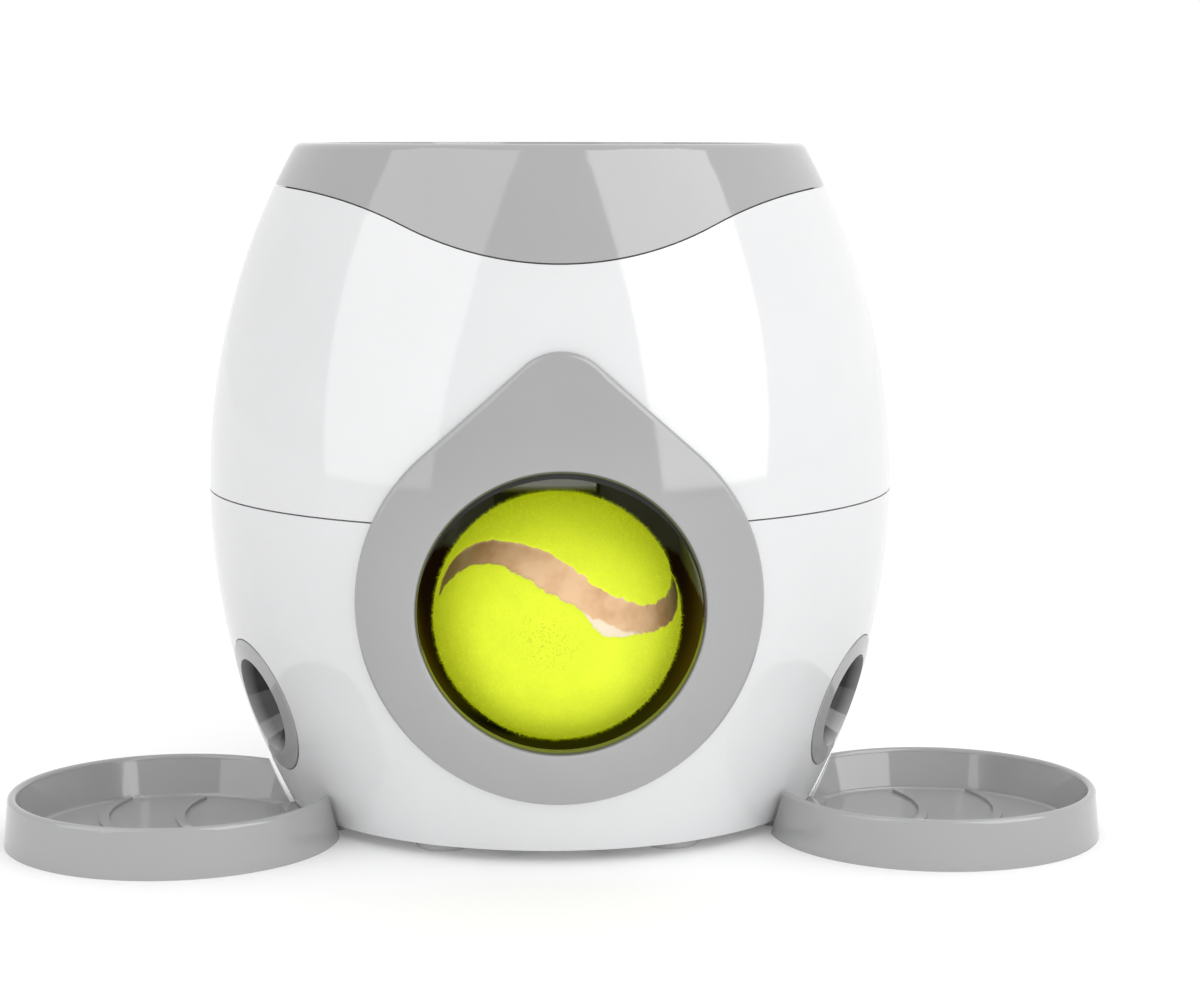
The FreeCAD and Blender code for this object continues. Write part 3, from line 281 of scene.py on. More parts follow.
bezel_abs = shade_throat(glossy_abs("gloss_bezel_abs", (0.362, 0.362, 0.366)),
                        Vector((0.0, 0.0, MOUTH_HEIGHT)), Vector((0.0, 1.0, 0.0)),
                        MOUTH_RADIUS + BEZEL_EDGE, BEZEL_EDGE, THROAT_SHADE)
right_outlet_abs = outlet_finish("gloss_outlet_abs_right", 1)
left_outlet_abs = outlet_finish("gloss_outlet_abs_left", -1)

# %% [markdown]
# Satin plastics inside
#
# The parts behind the mouth are moulded in a dark grey with a fine spark-eroded grain,
# which hides scuffs from the ball. The wheel and the drums are pale acetal, a waxy plastic
# that needs no oil, and the bushes are nylon. All three are the same recipe with a
# different colour, gloss and grain: fine cells for the grain and wide noise for how
# handling has changed the colour and the sheen. Noise could make the grain too, but cells
# have the even pitch of spark erosion.

# %% Satin plastics
SATIN_IOR = 1.5
HANDLED_TINT = 0.86            # what the handled patches keep of the colour
RUBBED_SHINE = 0.12            # specular level of the tunnel, which the ball has rubbed dull


def satin_plastic(name, colour, gloss, grain_scale, grain_depth):
    material, tree, shader, place = new_material(name)
    cloud = noise(tree, place, scale=55.0, detail=3.0, roughness=0.6)
    tint = [channel * HANDLED_TINT for channel in colour]
    sheen = noise(tree, place, scale=140.0)
    grain = add_node(tree, "ShaderNodeTexVoronoi", {"Vector": place, "Scale": grain_scale})
    set_sockets(tree, shader, {
        "Base Color": ramp(tree, cloud, tint, colour, 0.3, 0.7),
        "Roughness": map_range(tree, sheen, 0.0, 1.0, *gloss),
        "Normal": bump(tree, grain.outputs[0], grain_depth),
        "IOR": SATIN_IOR})
    print(name, "grain", round(1000 / grain_scale, 2), "mm")
    return material


inner_abs = satin_plastic("satin_dark_abs", colour=(0.085, 0.080, 0.080), gloss=(0.28, 0.42),
                          grain_scale=2600.0, grain_depth=1.2e-5)
tunnel_abs = satin_plastic("satin_tunnel_abs", colour=(0.24, 0.236, 0.225), gloss=(0.55, 0.70),
                           grain_scale=2600.0, grain_depth=1.2e-5)
set_sockets(tunnel_abs.node_tree, tunnel_abs.node_tree.nodes["Principled BSDF"],
            {"Specular IOR Level": RUBBED_SHINE})
acetal = satin_plastic("natural_acetal", colour=(0.74, 0.735, 0.70), gloss=(0.38, 0.50),
                       grain_scale=1500.0, grain_depth=6.0e-6)
nylon = satin_plastic("natural_nylon", colour=(0.76, 0.71, 0.60), gloss=(0.42, 0.55),
                      grain_scale=1800.0, grain_depth=8.0e-6)

# %% [markdown]
# Painted shade in the tunnel
#
# The tunnel's lower half is painted a deep brown up to where the ball rubs, and nearly black
# at the bottom; both are painted shade, and the roof stays grey. It could be a painted mask,
# but a blend by height needs no unwrapping, and noise on its line keeps it ragged. The
# tunnel's rim gets a dark grey of its own, which is painted shade as well.

# %% Painted shade in the tunnel
SHADE_HEIGHT = (0.070, 0.0716)     # the painted shade ends between these heights
SHADE_RAGGED = 0.003
# painted shade: brown on the lower half, near black at the bottom, dark grey on the rim
SHADE_BROWN = (0.062, 0.025, 0.006)
DEEP_SHADE_HEIGHT = (0.036, 0.050)        # painted shade is near black below these heights and brown above
DEEP_SHADE_BLACK = (0.012, 0.006, 0.003)
RIM_RADIUS = (0.0895, 0.0915)      # from the barrel's axis, where the tunnel's rim begins
RIM_SHADE_GREY = (0.050, 0.050, 0.048)
LEVEL = (1.0, 1.0, 0.0)            # keeps a place's distance from the axis, not its height


def paint_tunnel_shade(material):
    """Paint shade: brown below the height that the ball rubs, near black at the bottom, and a dark
    rim.
    """
    tree, base, place = base_colour_of(material)
    level = vector_node(tree, "MULTIPLY", {0: place, 1: LEVEL})
    rim = map_range(tree, vector_node(tree, "LENGTH", {0: level}, "Value"), *RIM_RADIUS)
    height = add_node(tree, "ShaderNodeSeparateXYZ", {0: place}).outputs["Z"]
    spots = noise(tree, place, scale=160.0, detail=4.0, roughness=0.6)
    ragged = math_node(tree, "ADD", height, math_node(tree, "MULTIPLY", spots, SHADE_RAGGED))
    brown = blend_colours(tree, map_range(tree, height, *DEEP_SHADE_HEIGHT), DEEP_SHADE_BLACK, SHADE_BROWN)
    unshaded = map_range(tree, ragged, *SHADE_HEIGHT)
    # painted shade below the ragged line, and then at the rim
    shaded = blend_colours(tree, unshaded, brown, base.links[0].from_socket)
    tree.links.new(blend_colours(tree, rim, shaded, RIM_SHADE_GREY), base)


paint_tunnel_shade(tunnel_abs)
print("tunnel stained below mm:", round(SHADE_HEIGHT[0] * 1000))

# %% [markdown]
# Zinc-plated steel and rubber
#
# The axle is drawn rod, so its scratches run along it: noise stretched along X makes them.
# The screws are bright zinc with a slightly cloudy plating. The feet are matt pale rubber
# that takes a little dust in its pores. An anisotropic shader would draw the axle's streaks
# too, but the noise also gives them their colour and depth.

# %% Steel and rubber


def plated_steel(name, stretch):
    material, tree, shader, place = new_material(name)
    drawn = add_node(tree, "ShaderNodeMapping", {"Vector": place, "Scale": stretch}).outputs[0]
    streaks = noise(tree, drawn, scale=1.0, detail=4.0, roughness=0.6)
    set_sockets(tree, shader, {
        "Base Color": ramp(tree, streaks, (0.50, 0.50, 0.51), (0.66, 0.66, 0.68), 0.3, 0.7),
        "Roughness": map_range(tree, streaks, 0.0, 1.0, 0.22, 0.40),
        "Normal": bump(tree, streaks, depth=4.0e-6),
        "Metallic": 1.0})
    return material


def matt_rubber(name, colour, dust):
    material, tree, shader, place = new_material(name)
    pores = noise(tree, place, scale=1400.0, detail=3.0, roughness=0.7)
    set_sockets(tree, shader, {
        "Base Color": ramp(tree, pores, colour, dust, 0.45, 0.85),
        "Roughness": map_range(tree, pores, 0.0, 1.0, 0.65, 0.85),
        "Normal": bump(tree, pores, depth=2.0e-5)})
    return material


drawn_steel = plated_steel("drawn_steel", stretch=(60.0, 4000.0, 4000.0))
zinc_steel = plated_steel("zinc_plated_steel", stretch=(900.0, 900.0, 900.0))
foot_rubber = matt_rubber("pale_foot_rubber", colour=(0.52, 0.52, 0.52), dust=(0.66, 0.66, 0.65))
core_rubber = matt_rubber("grey_ball_rubber", colour=(0.16, 0.15, 0.14), dust=(0.24, 0.23, 0.21))
print("steel and rubber ready")

# %% Put the finishes on the model's own parts
FINISHES = {
    white_abs: ("upper_shell", "lower_shell", "base_plate"),
    grey_abs: ("top_cover", "bowl_right", "bowl_left"),
    right_outlet_abs: ("outlet_ring_right",),
    left_outlet_abs: ("outlet_ring_left",),
    bezel_abs: ("front_bezel",),
    tunnel_abs: ("ball_ramp",),
    inner_abs: ("ball_tube", "mechanism_deck", "hopper_floor", "drum_housing_right",
                "drum_housing_left", "treat_chute_right", "treat_chute_left"),
    acetal: ("paddle_wheel", "dosing_drum_right", "dosing_drum_left"),
    nylon: ("axle_bushes",),
    drawn_steel: ("wheel_axle",),
    core_rubber: ("tennis_ball_core",),
}


for finish, names in FINISHES.items():
    for name in names:
        nodes[name].data.materials.clear()
        nodes[name].data.materials.append(finish)
print("finished nodes:", sum(len(names) for names in FINISHES.values()))

# %% [markdown]
# The ball's seam
#
# Two dumb-bell pieces of felt meet along one closed curve that runs over the ball like the
# seam of a baseball. A known rule gives it: two circles turning at one and three times the
# rate, lifted so that every point lies on the ball. On this ball the felt beside the seam
# has worn off in a ragged band that bares the tan rubber.

# %% Seam curve
BALL_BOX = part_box("tennis_ball_felt")
BALL_CENTRE = (Vector(BALL_BOX[0]) + Vector(BALL_BOX[1])) / 2
BALL_RADIUS = (BALL_BOX[1][0] - BALL_BOX[0][0]) / 2
SEAM_SHARE = 0.9078            # share of the slow circle; the fast one has the rest
SEAM_TURN = Matrix(((-0.8865, 0.0878, 0.4543),      # how the ball lies in the mouth
                    (-0.1506, 0.8736, -0.4627),
                    (-0.4375, -0.4786, -0.7613)))
SEAM_POINTS = 256


def seam_point(step):
    """Point of the seam on a ball of radius 1, before the ball is turned."""
    slow, fast = SEAM_SHARE, 1.0 - SEAM_SHARE
    angle = 2 * math.pi * step / SEAM_POINTS
    return Vector((slow * math.cos(angle) + fast * math.cos(3 * angle),
                   slow * math.sin(angle) - fast * math.sin(3 * angle),
                   2 * math.sqrt(slow * fast) * math.sin(2 * angle)))


def seam_curve():
    data = bpy.data.curves.new("seam_line", "CURVE")
    data.dimensions = "3D"
    spline = data.splines.new("POLY")
    spline.points.add(SEAM_POINTS - 1)
    spline.use_cyclic_u = True
    for step, point in enumerate(spline.points):
        point.co = (*(BALL_CENTRE + SEAM_TURN @ seam_point(step) * BALL_RADIUS), 1.0)
    return add_object("seam_line", data)


seam_line = seam_curve()
print("ball radius mm:", round(BALL_RADIUS * 1000, 2), "seam points:", SEAM_POINTS)

# %% [markdown]
# Felt with a worn seam
#
# A fine icosphere has nearly equal triangles everywhere, so it has no poles to hide. A
# Geometry Nodes tree measures each point's distance to the seam, roughens that distance
# with noise so the edge of the felt is ragged, sinks the bare band, and keeps the measure as
# an attribute. The material then reads the same attribute, so colour and form agree. It
# could be painted as a mask by hand, but a measured one follows any seam. Named places on
# the ball let the band be wider, torn open to the pale backing, or closed up by matted felt,
# and put grit where the ball has rolled. The felt's even yellow-green glow is painted light:
# it stands in for the dye's fluorescence and lifts the ball out of the mouth's shade.

# %% Geometry Nodes helper


def geometry_tree(name, inputs):
    """Empty Geometry Nodes tree with a geometry socket each way and the named inputs."""
    tree = bpy.data.node_groups.new(name, "GeometryNodeTree")
    tree.interface.new_socket("Geometry", in_out="INPUT", socket_type="NodeSocketGeometry")
    tree.interface.new_socket("Geometry", in_out="OUTPUT", socket_type="NodeSocketGeometry")
    for label, (kind, default) in inputs.items():
        socket = tree.interface.new_socket(label, in_out="INPUT", socket_type="NodeSocket" + kind)
        if default is not None:
            socket.default_value = default
    start = tree.nodes.new("NodeGroupInput").outputs
    end = tree.nodes.new("NodeGroupOutput").inputs[0]
    return tree, start, end


def real_geometry(tree, geometry, material):
    """What every tree ends in: real geometry instead of instances, with one material."""
    real = add_node(tree, "GeometryNodeRealizeInstances", {0: geometry})
    sockets = {"Geometry": real.outputs[0], "Material": material}
    return add_node(tree, "GeometryNodeSetMaterial", sockets).outputs[0]


def grow(name, base_mesh, tree, values, material):
    """Run a tree on a mesh and keep the result as a plain mesh object at the origin."""
    carrier = add_object(name, base_mesh)
    modifier = carrier.modifiers.new(name, "NODES")
    modifier.node_group = tree
    for socket in tree.interface.items_tree:
        if socket.in_out == "INPUT" and socket.name in values:
            modifier[socket.identifier] = values[socket.name]
    bpy.context.view_layer.update()
    graph = bpy.context.evaluated_depsgraph_get()
    grown = bpy.data.meshes.new_from_object(carrier.evaluated_get(graph))
    carrier.modifiers.clear()
    carrier.data = grown
    grown.name = name
    if not grown.materials:
        grown.materials.append(material)
    grown.materials[0] = material
    print(name, "triangles:", sum(len(p.vertices) - 2 for p in grown.polygons))
    return carrier


def smooth(obj):
    obj.data.polygons.foreach_set("use_smooth", [True] * len(obj.data.polygons))
    return obj


print("geometry helper ready")

# %% Felt tree
EDGE_SLOPE = 0.0003            # half the width over which the felt's edge falls away
BALL_SPLITS = 7                # 81,920 triangles, each under a millimetre wide


def near_to(tree, place, centre, reach, rise):
    """`rise` at the centre, falling smoothly to nothing at `reach` from it."""
    away = vector_node(tree, "DISTANCE", {0: place, 1: centre}, "Value")
    return map_range(tree, away, 0.0, reach, rise, 0.0, interpolation_type="SMOOTHSTEP")


def felt_tree():
    """Sink a ragged bare band along the seam, and keep how far each point lies from its edge."""
    inputs = {"Seam": ("Object", None), "Half Width": ("Float", 0.0035),
              "Ragged": ("Float", 0.0036), "Ragged Scale": ("Float", 330.0),
              "Depth": ("Float", 0.0007), "Nap": ("Float", 0.00014),
              "Wide At": ("Vector", None), "Wide Reach": ("Float", 0.0180),
              "Wide By": ("Float", 0.0013), "Torn At": ("Vector", None),
              "Torn Reach": ("Float", 0.0115), "Torn By": ("Float", 0.0034),
              "Closed At": ("Vector", None), "Closed Reach": ("Float", 0.0240),
              "Closed By": ("Float", 0.0080), "Felt Material": ("Material", None)}
    tree, start, end = geometry_tree("worn_felt", inputs)
    place = add_node(tree, "GeometryNodeInputPosition").outputs[0]

    def patch(label):
        return near_to(tree, place, *[start[label + word] for word in (" At", " Reach", " By")])

    seam = add_node(tree, "GeometryNodeObjectInfo", {"Object": start["Seam"]},
                    transform_space="ORIGINAL")
    line = add_node(tree, "GeometryNodeCurveToMesh", {"Curve": seam.outputs["Geometry"]})
    near = add_node(tree, "GeometryNodeProximity", {0: line.outputs[0]}, target_element="EDGES")
    spots = noise(tree, place, start["Ragged Scale"], detail=4.0, roughness=0.62)
    shift = math_node(tree, "MULTIPLY", math_node(tree, "SUBTRACT", spots, 0.5), start["Ragged"])
    reach = math_node(tree, "ADD", near.outputs["Distance"], shift)
    change = math_node(tree, "SUBTRACT", patch("Wide"), patch("Closed"))
    width = math_node(tree, "ADD", start["Half Width"], change)
    seam_edge = math_node(tree, "SUBTRACT", reach, width)
    edge = math_node(tree, "SUBTRACT", seam_edge, patch("Torn"))
    kept = start["Geometry"]
    for label, value in (("seam_edge", seam_edge), ("felt_edge", edge)):
        sockets = {"Geometry": kept, "Name": label, "Value": value}
        kept = add_node(tree, "GeometryNodeStoreNamedAttribute", sockets, data_type="FLOAT",
                        domain="POINT").outputs[0]
    sunk = map_range(tree, edge, -EDGE_SLOPE, EDGE_SLOPE, 1.0, 0.0)
    tufts = noise(tree, place, scale=1900.0, detail=3.0, roughness=0.65)
    nap = math_node(tree, "MULTIPLY", tufts, start["Nap"])
    felt_only = math_node(tree, "MULTIPLY", nap, math_node(tree, "SUBTRACT", 1.0, sunk))
    down = math_node(tree, "ADD", math_node(tree, "MULTIPLY", sunk, start["Depth"]), felt_only)
    normal = add_node(tree, "GeometryNodeInputNormal").outputs[0]
    inwards = {0: normal, "Scale": math_node(tree, "MULTIPLY", down, -1.0)}
    offset = vector_node(tree, "SCALE", inwards)
    moved = add_node(tree, "GeometryNodeSetPosition", {"Geometry": kept, "Offset": offset})
    tree.links.new(real_geometry(tree, moved.outputs[0], start["Felt Material"]), end)
    return tree


def ball_mesh():
    mesh = bpy.data.meshes.new("ball_blank")
    shape = bmesh.new()
    bmesh.ops.create_icosphere(shape, subdivisions=BALL_SPLITS, radius=BALL_RADIUS)
    bmesh.ops.translate(shape, verts=shape.verts, vec=BALL_CENTRE)
    shape.to_mesh(mesh)
    shape.free()
    return mesh


print("felt tree ready")

# %% Felt material
FELT_LIGHT = (0.50, 0.565, 0.026)
FELT_DEEP = (0.41, 0.485, 0.010)
FELT_PAINTED_GLOW = 0.35               # painted light: an even glow for the dye's fluorescence, lifting the ball in the mouth's shade
PAINTED_GLOW_COLOUR = (0.85, 1.0, 0.0)
MATTED = (0.90, 0.90, 0.90)    # what matted felt keeps of its colour
FLUFFY = (1.0, 1.0, 1.0)
RUBBER_TAN = (0.53, 0.28, 0.13)
RUBBER_PALE = (0.70, 0.45, 0.25)
FELT_BACKING = (0.76, 0.64, 0.48)
GRIT = (0.14, 0.15, 0.01)
GRIT_REACH = 0.013
GRIT_SHARE = 0.45              # of the grit's colour, where it lies thickest
GRIT_SIZE = 0.585              # noise above this is a grain


def on_ball(x, y, z):
    """Place on the ball's surface in the direction given from its centre."""
    return BALL_CENTRE + Vector((x, y, z)).normalized() * BALL_RADIUS


WIDE_PLACE = on_ball(-0.02, -0.83, 0.56)
TORN_PLACE = on_ball(0.37, -0.93, 0.01)
CLOSED_PLACE = on_ball(-0.97, -0.21, -0.24)
GRIT_PLACE = on_ball(-0.10, -0.99, -0.02)


def felt_material():
    material, tree, shader, place = new_material("neon_felt")

    def measure(name):
        return add_node(tree, "ShaderNodeAttribute", attribute_name=name).outputs["Fac"]

    tufts = noise(tree, place, scale=2400.0, detail=5.0, roughness=0.7)
    felt = ramp(tree, tufts, FELT_DEEP, FELT_LIGHT, 0.30, 0.60)
    grains = noise(tree, place, scale=1500.0)
    grit = math_node(tree, "MULTIPLY", math_node(tree, "GREATER_THAN", grains, GRIT_SIZE),
                     near_to(tree, place, GRIT_PLACE, GRIT_REACH, GRIT_SHARE))
    clumps = noise(tree, place, scale=85.0, detail=3.0, roughness=0.6)
    matted = ramp(tree, clumps, MATTED, FLUFFY, 0.40, 0.60)
    worn = blend_colours(tree, 1.0, blend_colours(tree, grit, felt, GRIT), matted, "MULTIPLY")
    clouds = noise(tree, place, scale=75.0, detail=3.0, roughness=0.6)
    rubber = ramp(tree, clouds, RUBBER_TAN, RUBBER_PALE, 0.38, 0.62)
    beyond = map_range(tree, measure("seam_edge"), -0.0002, 0.0007)
    under = blend_colours(tree, beyond, rubber, FELT_BACKING)
    on_felt = map_range(tree, measure("felt_edge"), -0.00012, 0.00012)
    set_sockets(tree, shader, {
        "Base Color": blend_colours(tree, on_felt, under, worn),
        # painted light: the felt glows evenly in yellow-green, the bare band not at all
        "Emission Color": blend_colours(tree, on_felt, (0.0, 0.0, 0.0), PAINTED_GLOW_COLOUR),
        "Emission Strength": FELT_PAINTED_GLOW,
        "Roughness": map_range(tree, on_felt, 0.0, 1.0, 0.62, 0.95),
        "Normal": bump(tree, tufts, depth=9.0e-5, strength=0.6),
        "Sheen Weight": 0.25,
        "Sheen Roughness": 0.55,
        "Sheen Tint": (0.9, 1.0, 0.3, 1.0)})
    return material


neon_felt = felt_material()
ball_felt = smooth(grow("ball_felt", ball_mesh(), felt_tree(),
                        {"Seam": seam_line, "Wide At": WIDE_PLACE, "Torn At": TORN_PLACE,
                         "Closed At": CLOSED_PLACE, "Felt Material": neon_felt}, neon_felt))
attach(ball_felt, "ball")
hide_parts("tennis_ball_felt")

# %% [markdown]
# Loose fibres
#
# Felt has a halo: thousands of fibres stand off it and soften its outline. A particle hair
# system could grow them, but it can't be exported, so a Geometry Nodes tree scatters points
# on the felt, leaves out the bare band, and puts a bent three-sided blade on each. The blades
# lean far over, as brushed fibres do, and their seed is fixed so that every render has the
# same ones.

# %% Fibres
BLADE_RINGS = ((0.030, 0.0, 0.0), (0.022, 0.24, 0.50))     # half width, lean and height
BLADE_TIP = (0.0, 0.80, 0.95)
FIBRE_MARGIN = 0.0002          # felt beside the bare band that carries no fibre
MOST_LEAN = 0.9                # radians to either side
FULL_TURN = 6.283
SHORTEST_SHARE = 0.45          # of the full length


def fibre_blade():
    """One tapered, bent blade about 1 unit tall: a closed shape with three sides."""
    mesh = bpy.data.meshes.new("fibre_blade")
    points = []
    for half, lean, height in BLADE_RINGS:
        points += [(-half, lean, height), (half, lean, height), (0.0, lean + half, height)]
    points.append(BLADE_TIP)
    faces = [(0, 2, 1)]
    for a, b in ((0, 1), (1, 2), (2, 0)):
        faces += [(a, b, b + 3, a + 3), (a + 3, b + 3, 6)]
    mesh.from_pydata(points, [], faces)
    return add_object("fibre_blade", mesh)


def fibre_tree():
    """Lean a blade over at random on points scattered over the felt."""
    inputs = {"Blade": ("Object", None), "Density": ("Float", 1.55e6),
              "Length": ("Float", 0.0011), "Seed": ("Int", 7),
              "Fibre Material": ("Material", None)}
    tree, start, end = geometry_tree("brushed_fibres", inputs)
    edge = add_node(tree, "GeometryNodeInputNamedAttribute", {"Name": "felt_edge"},
                    data_type="FLOAT")
    on_felt = add_node(tree, "FunctionNodeCompare", {0: edge.outputs[0], 1: FIBRE_MARGIN},
                       operation="GREATER_THAN")
    spread = add_node(tree, "GeometryNodeDistributePointsOnFaces", {
        "Mesh": start["Geometry"], "Selection": on_felt.outputs[0],
        "Density": start["Density"], "Seed": start["Seed"]})
    blade = add_node(tree, "GeometryNodeObjectInfo", {"Object": start["Blade"]})
    upright = add_node(tree, "FunctionNodeAlignRotationToVector",
                       {"Vector": spread.outputs["Normal"]}, axis="Z")
    lean = add_node(tree, "FunctionNodeRandomValue", {
        0: (-MOST_LEAN, -MOST_LEAN, 0.0), 1: (MOST_LEAN, MOST_LEAN, FULL_TURN),
        "Seed": start["Seed"]}, data_type="FLOAT_VECTOR")
    tip = add_node(tree, "FunctionNodeEulerToRotation", {0: lean.outputs[0]})
    turned = add_node(tree, "FunctionNodeRotateRotation",
                      {0: upright.outputs[0], 1: tip.outputs[0]}, rotation_space="LOCAL")
    size = add_node(tree, "FunctionNodeRandomValue",
                    {2: SHORTEST_SHARE, 3: 1.0, "Seed": start["Seed"]}, data_type="FLOAT")
    length = math_node(tree, "MULTIPLY", size.outputs[1], start["Length"])
    placed = add_node(tree, "GeometryNodeInstanceOnPoints", {
        "Points": spread.outputs["Points"], "Instance": blade.outputs["Geometry"],
        "Rotation": turned.outputs[0], "Scale": length})
    tree.links.new(real_geometry(tree, placed.outputs[0], start["Fibre Material"]), end)
    return tree


def fibre_material():
    material, tree, shader, place = new_material("felt_fibre")
    shade = noise(tree, place, scale=500.0)
    set_sockets(tree, shader, {
        "Base Color": ramp(tree, shade, (0.46, 0.56, 0.01), (0.57, 0.66, 0.05), 0.35, 0.65),
        # painted light: the fibres glow evenly like the felt
        "Emission Color": (*PAINTED_GLOW_COLOUR, 1.0),
        "Emission Strength": FELT_PAINTED_GLOW,
        "Roughness": 0.9,
        "Sheen Weight": 0.3})
    return material


felt_fibre = fibre_material()
blade = fibre_blade()
fibres = grow("ball_fibres", ball_felt.data.copy(), fibre_tree(),
              {"Blade": blade, "Fibre Material": felt_fibre}, felt_fibre)
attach(fibres, "ball")
bpy.data.objects.remove(blade)
bpy.data.objects.remove(seam_line)

# %% [markdown]
# Screws and feet
#
# The model's screws and feet are plain turned shapes. On the toy the screws are
# self-tapping, with a pan head, a cross recess and a coarse thread, and the feet are moulded
# with rounded edges and grip rings underneath. Both are turned shapes, so one profile spun
# round an axis makes each; the recess is cut out with a crossed pair of tapered blades. One
# Geometry Nodes tree then sets a copy on each place that the model gives. A linked copy per
# screw would work too, but the tree keeps the number, the turn and the finish as inputs.

# %% Turned shapes
TURN_STEPS = 24
SCREW_HEAD_RADIUS = 0.0028
SCREW_HEAD_HEIGHT = 0.0016
SCREW_HEAD_EDGE = 0.0004
SCREW_RADIUS = 0.0015
THREAD_ROOT = 0.00115
THREAD_PITCH = 0.0008
THREAD_START = 0.0022          # from the head's outer face
TIP_LENGTH = 0.0014
RECESS_REACH = 0.0016
RECESS_HALF_WIDTH = 0.00032
RECESS_DEPTH = 0.0011
RECESS_TAPER = 0.45            # a blade's reach at its bottom, as a share of that at its mouth
FOOT_RADIUS = 0.0075
FOOT_EDGE = 0.0006
GRIP_RINGS = (0.35, 0.58, 0.80)    # grooves, as shares of the foot's radius
GRIP_GROOVE = 0.0005           # half width at the mouth, and depth


def turned_mesh(name, profile, steps):
    """Closed mesh of (radius, height) pairs spun round Z; both ends meet the axis."""
    shape = bmesh.new()
    rings = []
    for radius, height in profile:
        angles = [2 * math.pi * step / steps for step in range(steps if radius else 1)]
        rings.append([shape.verts.new((radius * math.cos(angle), radius * math.sin(angle), height))
                      for angle in angles])
    for low, high in zip(rings, rings[1:]):
        for step in range(steps):
            here, there = step, step + 1
            corners = [low[here % len(low)], low[there % len(low)],
                       high[there % len(high)], high[here % len(high)]]
            shape.faces.new(list(dict.fromkeys(corners)))
    bmesh.ops.recalc_face_normals(shape, faces=shape.faces)
    mesh = bpy.data.meshes.new(name)
    shape.to_mesh(mesh)
    shape.free()
    return mesh


def screw_profile(length):
    """Pan head, threaded shank and tip, from the head's outer face up."""
    edge = SCREW_HEAD_EDGE
    profile = [(0.0, 0.0), (SCREW_HEAD_RADIUS - 2 * edge, 0.0),
               (SCREW_HEAD_RADIUS - edge / 2, edge / 2), (SCREW_HEAD_RADIUS, edge),
               (SCREW_HEAD_RADIUS, SCREW_HEAD_HEIGHT), (THREAD_ROOT, SCREW_HEAD_HEIGHT)]
    height = THREAD_START
    while height + THREAD_PITCH < length - TIP_LENGTH:
        profile += [(THREAD_ROOT, height), (SCREW_RADIUS, height + THREAD_PITCH / 2)]
        height += THREAD_PITCH
    return profile + [(THREAD_ROOT, height), (0.0, length)]


def recess_blades():
    """Two crossed blades that narrow into the head, as one mesh."""
    cutter = bmesh.new()
    for turn in (0.0, math.pi / 2):
        bmesh.ops.create_cube(cutter, size=1.0)
        for corner in cutter.verts[-8:]:
            deep = corner.co.z > 0
            reach = RECESS_REACH * (RECESS_TAPER if deep else 1.0)
            flat = Vector((2 * reach * corner.co.x, 2 * RECESS_HALF_WIDTH * corner.co.y, 0.0))
            flat.rotate(Matrix.Rotation(turn, 3, "Z"))
            corner.co = flat + Vector((0.0, 0.0, RECESS_DEPTH if deep else -RECESS_DEPTH / 2))
    mesh = bpy.data.meshes.new("cross_blades")
    cutter.to_mesh(mesh)
    cutter.free()
    return mesh


def screw_mesh(length):
    """Turned screw with a tapered cross cut into its head."""
    blank = add_object("screw_blank", turned_mesh("screw", screw_profile(length), TURN_STEPS))
    blades = add_object("cross_blades", recess_blades())
    cut = blank.modifiers.new("recess", "BOOLEAN")
    cut.object, cut.solver, cut.use_self = blades, "EXACT", True
    bpy.context.view_layer.update()
    graph = bpy.context.evaluated_depsgraph_get()
    result = bpy.data.meshes.new_from_object(blank.evaluated_get(graph))
    bpy.data.objects.remove(blank)
    bpy.data.objects.remove(blades)
    return result


def foot_mesh(height):
    """Round foot with a rounded lower edge and grip grooves underneath."""
    profile = [(0.0, 0.0)]
    for share in GRIP_RINGS:
        centre = FOOT_RADIUS * share
        profile += [(centre - GRIP_GROOVE, 0.0), (centre - GRIP_GROOVE / 2, GRIP_GROOVE),
                    (centre + GRIP_GROOVE / 2, GRIP_GROOVE), (centre + GRIP_GROOVE, 0.0)]
    profile += [(FOOT_RADIUS - FOOT_EDGE, 0.0), (FOOT_RADIUS - FOOT_EDGE * 0.3, FOOT_EDGE * 0.3),
                (FOOT_RADIUS, FOOT_EDGE), (FOOT_RADIUS, height), (0.0, height)]
    return turned_mesh("foot", profile, 2 * TURN_STEPS)


print("turned shapes ready")

# %% Places that the model gives
SAME_POINT = 1e-6
WIDER = 0.0004                 # a head is at least this much wider than a shank


def solids_of(name):
    """Corner points of each separate solid in a node."""
    shape = bmesh.new()
    shape.from_mesh(nodes[name].data)
    bmesh.ops.remove_doubles(shape, verts=shape.verts, dist=SAME_POINT)
    left, solids = set(shape.verts), []
    for start in shape.verts:
        if start not in left:
            continue
        left.discard(start)
        front, found = [start], []
        while front:
            corner = front.pop()
            found.append(corner.co.copy())
            for edge in corner.link_edges:
                other = edge.other_vert(corner)
                if other in left:
                    left.discard(other)
                    front.append(other)
        solids.append(found)
    shape.free()
    return solids


def places_of(name):
    """Place of each solid's wide end, whether that is the upper end, and the solids' height."""
    places, upper_ends, height = [], [], 0.0
    for corners in solids_of(name):
        low, high = [Vector([pick(corner[axis] for corner in corners) for axis in range(3)])
                     for pick in (min, max)]
        middle = (low + high) / 2
        lower_reach, upper_reach = [
            max((corner.xy - middle.xy).length for corner in corners
                if (corner.z > middle.z) == upper) for upper in (False, True)]
        upper_ends.append(upper_reach > lower_reach + WIDER)
        places.append(Vector((middle.x, middle.y, high.z if upper_ends[-1] else low.z)))
        height = high.z - low.z
    if len(set(upper_ends)) != 1:
        raise ValueError(name + " has solids that point both ways")
    return places, upper_ends[0], height


